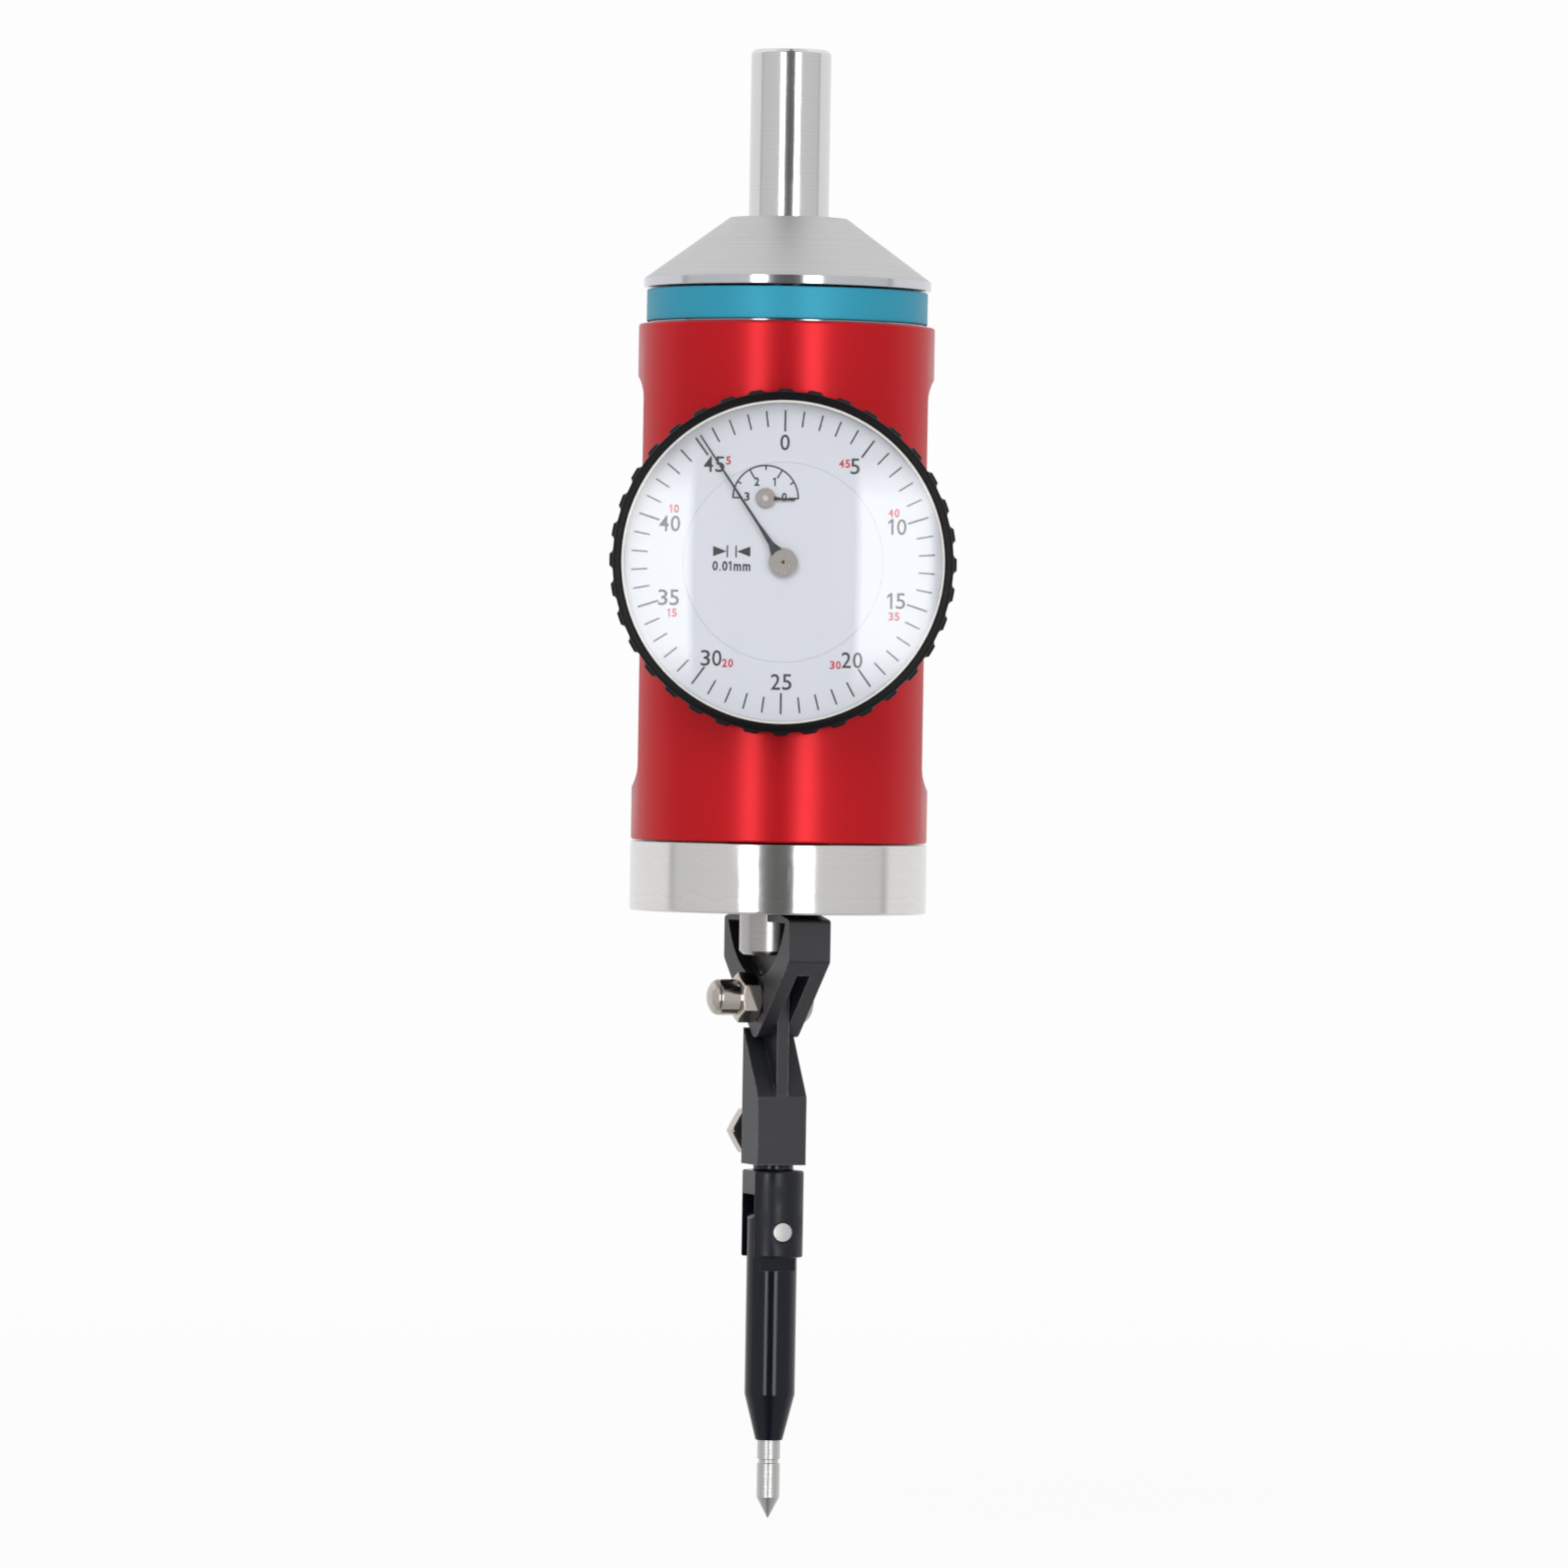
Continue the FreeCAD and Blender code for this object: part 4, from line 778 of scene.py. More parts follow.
def held(mesh: bmesh.types.BMesh, name: str) -> bpy.types.Object:
    """Put a bmesh in a scratch object, for a modifier.

    Args:
        mesh: The geometry, which is used up.
        name: The object's name.

    Returns:
        The scratch object.
    """
    bmesh.ops.recalc_face_normals(mesh, faces=mesh.faces)
    data = bpy.data.meshes.new(name)
    mesh.to_mesh(data)
    mesh.free()
    return linked(name, data)


def carved(base: bmesh.types.BMesh, steps: Iterable[tuple[str, bmesh.types.BMesh]],
           bevel: float = 0.0, bevel_angle: float = 30.0, segments: int = 2) -> bmesh.types.BMesh:
    """Cut, join or keep shapes by booleans, then soften the edges.

    Args:
        base: The solid that is worked on.
        steps: (DIFFERENCE, UNION or INTERSECT, tool) pairs in order.
        bevel: Width of the edge bevel, or 0.
        bevel_angle: Edges that bend more than this, in degrees, are softened.
        segments: Segments of each bevel.

    Returns:
        The finished mesh.
    """
    solid = held(base, "carving")
    tools = []
    for operation, tool in steps:
        cutter = held(tool, "cutter")
        tools.append(cutter)
        step = solid.modifiers.new("step", "BOOLEAN")
        step.operation = operation
        step.object = cutter
        step.solver = "EXACT"
    if bevel > 0.0:
        weld = solid.modifiers.new("weld", "WELD")
        weld.merge_threshold = WELD
        edge = solid.modifiers.new("edge", "BEVEL")
        edge.width = bevel
        edge.segments = segments
        edge.limit_method = "ANGLE"
        edge.angle_limit = math.radians(bevel_angle)
        edge.miter_outer = "MITER_ARC"
        edge.harden_normals = False
    graph = bpy.context.evaluated_depsgraph_get()
    data = bpy.data.meshes.new_from_object(solid.evaluated_get(graph))
    mesh = bmesh.new()
    mesh.from_mesh(data)
    for used in (solid, *tools):
        bpy.data.objects.remove(used)
    bpy.data.meshes.remove(data)
    return mesh


def joined(parts: Iterable[bmesh.types.BMesh]) -> bmesh.types.BMesh:
    """Gather several meshes in one.

    Args:
        parts: The meshes, which are used up.

    Returns:
        The one mesh.
    """
    whole = bmesh.new()
    for part in parts:
        data = bpy.data.meshes.new("part")
        part.to_mesh(data)
        part.free()
        whole.from_mesh(data)
        bpy.data.meshes.remove(data)
    return whole


def turned_to(mesh: bmesh.types.BMesh, facing: Facing, at: Sequence[float] = (0.0, 0.0, 0.0)
              ) -> bmesh.types.BMesh:
    """Turn a mesh made about Z to a facing and move it to a point."""
    mesh.transform(Matrix.Translation(Vector(at)) @ facing_matrix(facing))
    return mesh


def side_slab(outline: Profile, half: float) -> bmesh.types.BMesh:
    """Extrude a (depth, height) outline of the linkage evenly to both sides, along its X.

    Args:
        outline: The points, as (local y, z).
        half: Half the thickness.

    Returns:
        The solid mesh.
    """
    mesh = slab(outline, -half, half)
    mesh.transform(Matrix(((0, 0, 1, 0), (1, 0, 0, 0), (0, 1, 0, 0), (0, 0, 0, 1))))
    return mesh


@dataclass
class Spindle:
    """The shank and cone at the top, the rotor head and the plunger's foot below.

    Args:
        shank_radius: Radius of the straight shank.
        journal: Radius of the spindle below its shank, and of the bores that it fills.
        hub: Radius of the cone's and the head's hubs.
        cone_top: Radius of the cone's flat top.
        cone_base: Level of the cone's underside.
        cone_lip: Height of the polished band under the cone.
        head_top: Level of the head's top face.
        recess: Radius of the recess under the head.
        recess_depth: Depth of that recess.
        edge: Radius of the head's rounded edges.
        foot_chamfer: Chamfer of the plunger's foot.
        foot_hole: Radius of the rod's hole in the foot.
        foot_hole_depth: Depth of that hole.
    """

    shank_radius: float = 6.35 * MM
    journal: float = 6.0 * MM
    hub: float = 8.0 * MM
    cone_top: float = 9.35 * MM
    cone_base: float = -11.3 * MM
    cone_lip: float = 1.4 * MM
    head_top: float = -99.1 * MM
    recess: float = 9.0 * MM
    recess_depth: float = 5.1 * MM
    edge: float = 0.45 * MM
    foot_chamfer: float = 0.6 * MM
    foot_hole: float = 2.0 * MM
    foot_hole_depth: float = 5.0 * MM

    def build(self, shop: Workshop) -> None:
        """Make and dress the pieces.

        Args:
            shop: The workshop.
        """
        self.shank(shop)
        self.cone(shop)
        self.head(shop)
        self.foot(shop)

    def shank(self, shop: Workshop) -> None:
        """Make the ground shank with its rounded end and centre hole.

        Args:
            shop: The workshop.
        """
        low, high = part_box("spindle")
        top = high.z
        radius = self.shank_radius
        profile = rounded([
            (0.0, top - 1.4 * MM, 0), (1.0 * MM, top - 0.5 * MM, 0.05 * MM),
            (1.3 * MM, top, 0.1 * MM), (radius - 0.5 * MM, top, 0.3 * MM),
            (radius, top - 0.6 * MM, 0.4 * MM), (radius, 0.0, 0.02 * MM),
            (self.journal, 0.0, 0.02 * MM), (self.journal, low.z, self.edge),
            (0.0, low.z, 0)], 5)
        shop.piece("shank_and_spindle", lathe(profile, 160), "ground_steel", "spindle",
                   ["spindle"])

    def cone(self, shop: Workshop) -> None:
        """Make the turned cone with its flat top, and the polished band under it.

        Args:
            shop: The workshop.
        """
        low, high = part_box("cone_cap")
        radius = high.x
        base = self.cone_base
        lip = base + self.cone_lip
        profile = rounded([
            (self.journal, high.z, 0), (self.cone_top, high.z, 0.12 * MM),
            (radius, lip, 0.04 * MM), (self.hub, lip, 0), (self.journal, lip, 0)], 5)
        shop.piece("turned_cone_cap", lathe(ring_of(profile), 192), "turned_cone", "spindle",
                   ["cone_cap"])
        profile = rounded([
            (self.journal, lip, 0), (radius - 0.04 * MM, lip, 0.02 * MM),
            (radius, lip - 0.06 * MM, 0.04 * MM), (radius, base, 0.2 * MM),
            (self.hub, base, 0.1 * MM), (self.hub, low.z, 0.1 * MM),
            (self.journal, low.z, 0)], 5)
        shop.piece("polished_cone_lip", lathe(ring_of(profile), 192), "polished_band", "spindle",
                   ["cone_cap"])

    def head(self, shop: Workshop) -> None:
        """Make the ground rotor head.

        Args:
            shop: The workshop.
        """
        low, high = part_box("rotor_head")
        radius = high.x
        ceiling = low.z + self.recess_depth
        profile = rounded([
            (self.journal, high.z, 0), (self.hub, high.z, 0.1 * MM),
            (self.hub, self.head_top, 0.1 * MM), (radius, self.head_top, 0.22 * MM),
            (radius, low.z, self.edge), (self.recess, low.z, 0.1 * MM),
            (self.recess, ceiling, 0.05 * MM), (self.journal, ceiling, 0)], 6)
        shop.piece("ground_rotor_head", lathe(ring_of(profile), 224), "scored_steel", "spindle",
                   ["rotor_head"])

    def foot(self, shop: Workshop) -> None:
        """Make the plunger's chamfered foot with the rod's hole in its top.

        Args:
            shop: The workshop.
        """
        low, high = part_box("plunger")
        foot = high.x
        hole = self.foot_hole
        floor = high.z - self.foot_hole_depth
        cut = self.foot_chamfer
        profile = rounded([
            (0.0, low.z, 0), (foot - cut, low.z, 0.1 * MM), (foot, low.z + cut, 0.1 * MM),
            (foot, high.z, 0.2 * MM), (hole, high.z, 0.05 * MM), (hole, floor, 0),
            (0.0, floor, 0)], 4)
        shop.piece("plunger_foot", lathe(profile, 128), "foot_steel", "plunger",
                   ["plunger"])


@dataclass
class Housing:
    """The red housing with its blue cover ring and steel washer.

    Args:
        edge: Radius of the housing's end edges.
        grip: Half the distance across the side flats.
        cutter: Radius of the flats' run-outs.
        upper_band: Height above the flats.
        lower_band: Height below the flats.
        seat: Radius of the bearing seats at both ends.
        seat_depth: Depth of those seats.
        bore: Radius of the bore between them.
        pocket: Radius of the dial case's pocket.
        pocket_floor: How far in front of the axis the pocket ends.
        steady_drop: How far below the dial's centre the steady rod's hole is.
        steady_hole: Radius of that hole.
        steady_spot: Radius of the spot face round it.
        washer_bore: Radius of the washer's bore.
        cover_bore: Radius of the cover ring's bore.
        cover_height: Height of its outer band.
        spigot: Outer radius of the spigot that holds the bearing.
        spigot_bore: Inner radius of the spigot.
        spigot_web: Thickness of the web inside it.
    """

    edge: float = 0.45 * MM
    grip: float = 22.5 * MM
    cutter: float = 7.5 * MM
    upper_band: float = 8.2 * MM
    lower_band: float = 8.3 * MM
    seat: float = 14.0 * MM
    seat_depth: float = 9.0 * MM
    bore: float = 12.7 * MM
    pocket: float = 21.5 * MM
    pocket_floor: float = 12.2 * MM
    steady_drop: float = 27.0 * MM
    steady_hole: float = 2.5 * MM
    steady_spot: float = 4.5 * MM
    washer_bore: float = 14.0 * MM
    cover_bore: float = 8.3 * MM
    cover_height: float = 5.1 * MM
    spigot: float = 13.95 * MM
    spigot_bore: float = 11.5 * MM
    spigot_web: float = 0.3 * MM

    def build(self, shop: Workshop) -> None:
        """Make and dress the pieces.

        Args:
            shop: The workshop.
        """
        self.shell(shop)
        self.cover(shop)

    def shell(self, shop: Workshop) -> None:
        """Make the housing with its dial pocket and steady-rod hole.

        Args:
            shop: The workshop.
        """
        low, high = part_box("housing")
        band = high.y
        upper_seat = high.z - self.seat_depth
        lower_seat = low.z + self.seat_depth
        profile = rounded([
            (self.seat, low.z, 0), (band, low.z, self.edge), (band, high.z, self.edge),
            (self.seat, high.z, 0), (self.seat, upper_seat, 0), (self.bore, upper_seat, 0),
            (self.bore, lower_seat, 0), (self.seat, lower_seat, 0)], 6)
        steady = (0, 0, DIAL_LEVEL - self.steady_drop)
        cuts = [turned_to(rod(self.pocket, self.pocket_floor, 30.0 * MM, 160), Facing.READER,
                          (0, 0, DIAL_LEVEL)),
                turned_to(rod(self.steady_spot, 22.0 * MM, 26.0 * MM, 64), Facing.BACK, steady),
                turned_to(rod(self.steady_hole, 14.0 * MM, 26.0 * MM, 64), Facing.BACK, steady),
                *self.flat_cutters(low.z, high.z, band)]
        body = carved(lathe(ring_of(profile), 224), [("DIFFERENCE", cut) for cut in cuts])
        shop.piece("red_housing", body, "red_anodised", "housing", ["housing"])

    def flat_cutters(self, low: float, high: float, band: float) -> list[bmesh.types.BMesh]:
        """Make the tools that mill the two side flats, with their round run-outs.

        Args:
            low: Level of the housing's lower end.
            high: Level of its upper end.
            band: Radius of the housing.

        Returns:
            One tool for each side.
        """
        steps = 36
        depth = band - self.grip
        run_out = math.sqrt(2 * self.cutter * depth - depth ** 2)
        ends = (low + self.lower_band + run_out, high - self.upper_band - run_out)
        tools = []
        for side in (-1, 1):
            across = side * (self.grip + self.cutter)
            outline: Profile = []
            for level, start in ((ends[0], math.pi), (ends[1], 0.0)):
                for step in range(steps + 1):
                    angle = start + math.pi * step / steps
                    outline.append((across + self.cutter * math.cos(angle),
                                    level + self.cutter * math.sin(angle)))
            tools.append(turned_to(slab(outline, -25.0 * MM, 25.0 * MM), Facing.READER))
        return tools

    def cover(self, shop: Workshop) -> None:
        """Make the blue cover ring and the bright washer under it.

        Args:
            shop: The workshop.
        """
        low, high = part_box("cover_ring")
        outer = high.x
        base = high.z - self.cover_height
        web = low.z + self.spigot_web
        profile = rounded([
            (self.cover_bore, high.z, 0.1 * MM), (outer, high.z, 0.25 * MM),
            (outer, base, 0.2 * MM), (self.spigot, base, 0), (self.spigot, low.z, 0),
            (self.spigot_bore, low.z, 0), (self.spigot_bore, web, 0), (self.cover_bore, web, 0)], 4)
        shop.piece("blue_cover_ring", lathe(ring_of(profile), 192), "blue_anodised", "housing",
                   ["cover_ring"])
        low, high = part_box("steel_washer")
        profile = rounded([
            (self.washer_bore, low.z, 0), (high.x, low.z, 0.1 * MM), (high.x, high.z, 0.1 * MM),
            (self.washer_bore, high.z, 0)], 3)
        # The washer takes the darkened steel: painted shade between the blue ring and the housing
        shop.piece("bright_washer", lathe(ring_of(profile), 160), "shaded_band", "housing",
                   ["steel_washer"])


@dataclass
class Dial:
    """The dial's two discs with their scales and numbers.

    Args:
        front: Depth of the printed face.
        split: Radius where the fixed inner dial ends.
        thick: Thickness of the discs.
        eye: Radius of the arbors' holes.
        tick_outer: Radius at which every tick starts.
        tick_inner: Radius at which a single tick ends.
        tick_long: Radius at which a numbered tick ends.
        tick_width: Width of a single tick and of the counter's print.
        tick_bold: Width of a numbered tick.
        number_circle: Radius of the numbers' centres.
        number_size: Height of the black numbers.
        weight: How far the outlines of the large print are pushed out, per unit of height.
        fine_print: Print lower than this takes the fine print's weight.
        fine_weight: The same as weight, for fine print.
        red_size: Height of the red numbers.
        ink: Half the thickness of the print.
        divisions: Number of ticks round the outer dial.
        counter_right: The turns counter's centre, right of the dial's.
        counter_up: The turns counter's centre, above the dial's.
        counter_arc: Radius of the counter's arc.
        counter_circle: Radius of the centres of its numbers.
        counter_size: Height of its numbers.
        counter_steps: Stretches that its arc is drawn in.
    """

    front: float = 28.4 * MM
    split: float = 15.53 * MM
    thick: float = 0.5 * MM
    eye: float = 1.0 * MM
    tick_outer: float = 23.6 * MM
    tick_inner: float = 21.1 * MM
    tick_long: float = 20.3 * MM
    tick_width: float = 0.25 * MM
    tick_bold: float = 0.29 * MM
    number_circle: float = 18.6 * MM
    number_size: float = 2.46 * MM
    weight: float = 0.006
    fine_print: float = 1.52 * MM
    fine_weight: float = 0.032
    red_size: float = 1.31 * MM
    ink: float = 0.02 * MM
    divisions: int = 50
    counter_right: float = COUNTER_RIGHT
    counter_up: float = COUNTER_UP
    counter_arc: float = 5.06 * MM
    counter_circle: float = 2.9 * MM
    counter_size: float = 1.35 * MM
    counter_steps: int = 48

    def build(self, shop: Workshop) -> None:
        """Make the discs, ticks and numbers.

        Args:
            shop: The workshop.
        """
        self.discs(shop)
        self.outer_ticks(shop)
        self.numbers(shop)
        self.counter_scale(shop)
        self.graduation_mark(shop)

    def discs(self, shop: Workshop) -> None:
        """Make the turning outer dial and the fixed inner one.

        Args:
            shop: The workshop.
        """
        back = self.front - self.thick
        low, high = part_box("outer_dial")
        inside = self.split + 0.03 * MM
        profile = rounded([
            (inside, back, 0), (high.x, back, 0), (high.x, self.front, 0),
            (inside, self.front, 0.03 * MM)], 3)
        shop.piece("outer_dial_disc", lathe(ring_of(profile), 160), "dial_enamel", "bezel",
                   ["outer_dial"], DIAL)
        disc = lathe(rounded([(0.0, back, 0), (self.split, back, 0),
                              (self.split, self.front, 0.03 * MM), (0.0, self.front, 0)], 3), 160)
        centre = rod(self.eye, back - self.eye, self.front + self.eye, 48)
        side = rod(self.eye, back - self.eye, self.front + self.eye, 48)
        side.transform(Matrix.Translation((self.counter_right, self.counter_up, 0)))
        body = carved(disc, [("DIFFERENCE", centre), ("DIFFERENCE", side)])
        shop.piece("inner_dial_disc", body, "dial_enamel", "housing",
                   ["inner_dial"], DIAL)

    def bar(self, inner: float, outer: float, width: float, angle: float,
            centre: tuple[float, float] = (0.0, 0.0)) -> bmesh.types.BMesh:
        """Make one printed tick.

        Args:
            inner: Radius of its inner end.
            outer: Radius of its outer end.
            width: Its width.
            angle: Degrees anticlockwise from the right.
            centre: The scale's centre.

        Returns:
            The tick's mesh.
        """
        half = width / 2
        mesh = slab([(inner, -half), (outer, -half), (outer, half), (inner, half)],
                    self.front - self.ink, self.front + self.ink)
        turn = Matrix.Rotation(math.radians(angle), 4, "Z")
        mesh.transform(Matrix.Translation((*centre, 0)) @ turn)
        return mesh

    @staticmethod
    def bearing(count: int) -> float:
        """Return a division's place in degrees anticlockwise from the right, 7.2 to a division."""
        return 90.0 - count * 7.2

    def outer_ticks(self, shop: Workshop) -> None:
        """Print the outer scale's ticks.

        Args:
            shop: The workshop.
        """
        ticks = []
        for index in range(self.divisions):
            long = index % 5 == 0
            inner = self.tick_long if long else self.tick_inner
            width = self.tick_bold if long else self.tick_width
            ticks.append(self.bar(inner, self.tick_outer, width, self.bearing(index)))
        shop.piece("outer_scale_ticks", joined(ticks), "ink_black", "bezel",
                   (), DIAL)

    def text(self, words: str, height: float, right: float, up: float,
             width: float = 0.0) -> bmesh.types.BMesh:
        """Print a word or number centred on a point of the dial.

        Args:
            words: What is printed.
            height: Height of the digits.
            right: Right of the dial's centre.
            up: Above the dial's centre.
            width: Width of the whole word, or 0 for its natural width.

        Returns:
            The print's mesh.
        """
        cells = {"1": 0.52, ".": 0.34, "m": 1.0}
        weight = self.fine_weight if height < self.fine_print else self.weight
        glyphs = []
        reach = 0.0
        for letter in words:
            cell = cells.get(letter, 0.72)
            glyph = self.glyph(letter, weight)
            glyph.transform(Matrix.Translation((reach + cell / 2, 0.0, 0.0)))
            glyphs.append(glyph)
            reach += cell
        flat = joined(glyphs)
        stretch = width / reach if width else height
        flat.transform(Matrix.Translation((right, up, self.front + self.ink))
                       @ Matrix.Diagonal((stretch, height, 1, 1))
                       @ Matrix.Translation((-reach / 2, -0.5, 0.0)))
        return self.thickened(flat)

    @staticmethod
    def glyph(letter: str, weight: float) -> bmesh.types.BMesh:
        """Make one flat letter, one unit high, on the base line and centred sideways.

        Args:
            letter: A digit, a full stop or a small m.
            weight: How far its outline is pushed out, so that its strokes are bolder.

        Returns:
            The letter's mesh.
        """
        if letter == "1":
            left = -0.03 - weight
            return flat_shape([[(left, 0.0), (0.1, 0.0), (0.1, 1.0), (left, 1.0)],
                               [(left, 1.0), (-0.24, 0.82), (-0.24, 0.66), (left, 0.80)]])
        if letter == ".":
            return flat_shape([[(-0.08, 0.0), (0.08, 0.0), (0.08, 0.16), (-0.08, 0.16)]])
        curve = bpy.data.curves.new("print", "FONT")
        curve.body = letter
        curve.offset = weight
        curve.resolution_u = 4
        holder = linked("print", curve)
        graph = bpy.context.evaluated_depsgraph_get()
        data = bpy.data.meshes.new_from_object(holder.evaluated_get(graph))
        flat = bmesh.new()
        flat.from_mesh(data)
        bpy.data.objects.remove(holder)
        bpy.data.meshes.remove(data)
        bpy.data.curves.remove(curve)
        across = [vert.co.x for vert in flat.verts]
        rise = [vert.co.y for vert in flat.verts]
        wide = max(across) - min(across)
        tall = max(rise) - min(rise)
        target = (0.84, 0.74) if letter == "m" else (0.59, 1.0)
        middle = Vector(((min(across) + max(across)) / 2, min(rise), 0))
        flat.transform(Matrix.Diagonal((target[0] / wide, target[1] / tall, 1, 1))
                       @ Matrix.Translation(-middle))
        return flat

    def thickened(self, flat: bmesh.types.BMesh) -> bmesh.types.BMesh:
        """Give a flat print its thickness, down into the dial's face.

        Args:
            flat: The print's flat mesh, which is changed.

        Returns:
            The same mesh.
        """
        bmesh.ops.remove_doubles(flat, verts=flat.verts, dist=0.001 * MM)
        for face in flat.faces:
            if face.normal.z < 0.0:
                face.normal_flip()
        made = bmesh.ops.extrude_face_region(flat, geom=flat.faces[:])
        lower = [part for part in made["geom"] if isinstance(part, bmesh.types.BMVert)]
        bmesh.ops.translate(flat, verts=lower, vec=(0.0, 0.0, -2.0 * self.ink))
        return flat

    def numbers(self, shop: Workshop) -> None:
        """Print the black numbers and, beside them, the red ones that count the other way.

        Args:
            shop: The workshop.
        """
        aside = {5: (-1.62, 0.4), 10: (-0.6, 2.15), 15: (-0.34, -2.4), 20: (-2.57, -0.8),
                 30: (2.57, -0.74), 35: (0.6, -2.36), 40: (0.67, 2.3), 45: (2.2, 0.6)}
        black = []
        red = []
        for count in range(0, self.divisions, 5):
            angle = math.radians(self.bearing(count))
            right = self.number_circle * math.cos(angle)
            up = self.number_circle * math.sin(angle)
            black.append(self.text(str(count), self.number_size, right, up))
            if count in aside:
                across, rise = aside[count]
                red.append(self.text(str(self.divisions - count), self.red_size,
                                     right + across * MM, up + rise * MM))
        shop.piece("outer_scale_numbers", joined(black), "ink_black", "bezel",
                   (), DIAL)
        shop.piece("outer_scale_red_numbers", joined(red), "ink_red", "bezel",
                   (), DIAL)

    def counter_scale(self, shop: Workshop) -> None:
        """Print the turns counter: its arc, ticks and numbers from 0 to 3.

        Args:
            shop: The workshop.
        """
        centre = (self.counter_right, self.counter_up)
        arc = self.counter_arc
        parts = []
        half = arc * math.radians(180.0 / self.counter_steps) * 0.51
        for step in range(self.counter_steps):
            degrees = 180.0 * (step + 0.5) / self.counter_steps
            parts.append(self.bar(arc - self.tick_width / 2, arc + self.tick_width / 2, 2 * half,
                                  degrees, centre))
        for index in range(7):
            inward = (0.7 if index % 2 else 1.5) * MM
            parts.append(self.bar(arc - inward, arc + 0.12 * MM, self.tick_width, index * 30.0,
                                  centre))
        for index, degrees in enumerate((4.0, 61.0, 119.0, 176.0)):
            angle = math.radians(degrees)
            parts.append(self.text(str(index), self.counter_size,
                                   centre[0] + self.counter_circle * math.cos(angle),
                                   centre[1] + self.counter_circle * math.sin(angle)))
        shop.piece("counter_scale", joined(parts), "ink_black", "housing",
                   (), DIAL)

    def graduation_mark(self, shop: Workshop) -> None:
        """Print the plain graduation value and the mark over it.

        Args:
            shop: The workshop.
        """
        left = -8.0 * MM
        parts = [self.text("0.01mm", 1.5 * MM, left, -0.72 * MM, 6.1 * MM)]
        mark = 1.55 * MM
        tall = 0.95 * MM
        half = 0.11 * MM
        face = (self.front - self.ink, self.front + self.ink)
        for side in (-1, 1):
            stroke = left + side * 0.68 * MM
            parts.append(slab([(stroke - half, mark - tall), (stroke + half, mark - tall),
                               (stroke + half, mark + tall), (stroke - half, mark + tall)], *face))
            tip = stroke + side * half
            tail = tip + side * 2.1 * MM
            parts.append(slab([(tip, mark), (tail, mark - 0.8 * MM), (tail, mark + 0.8 * MM)],
                              *face))
        shop.piece("graduation_mark", joined(parts), "ink_black", "housing",
                   (), DIAL)


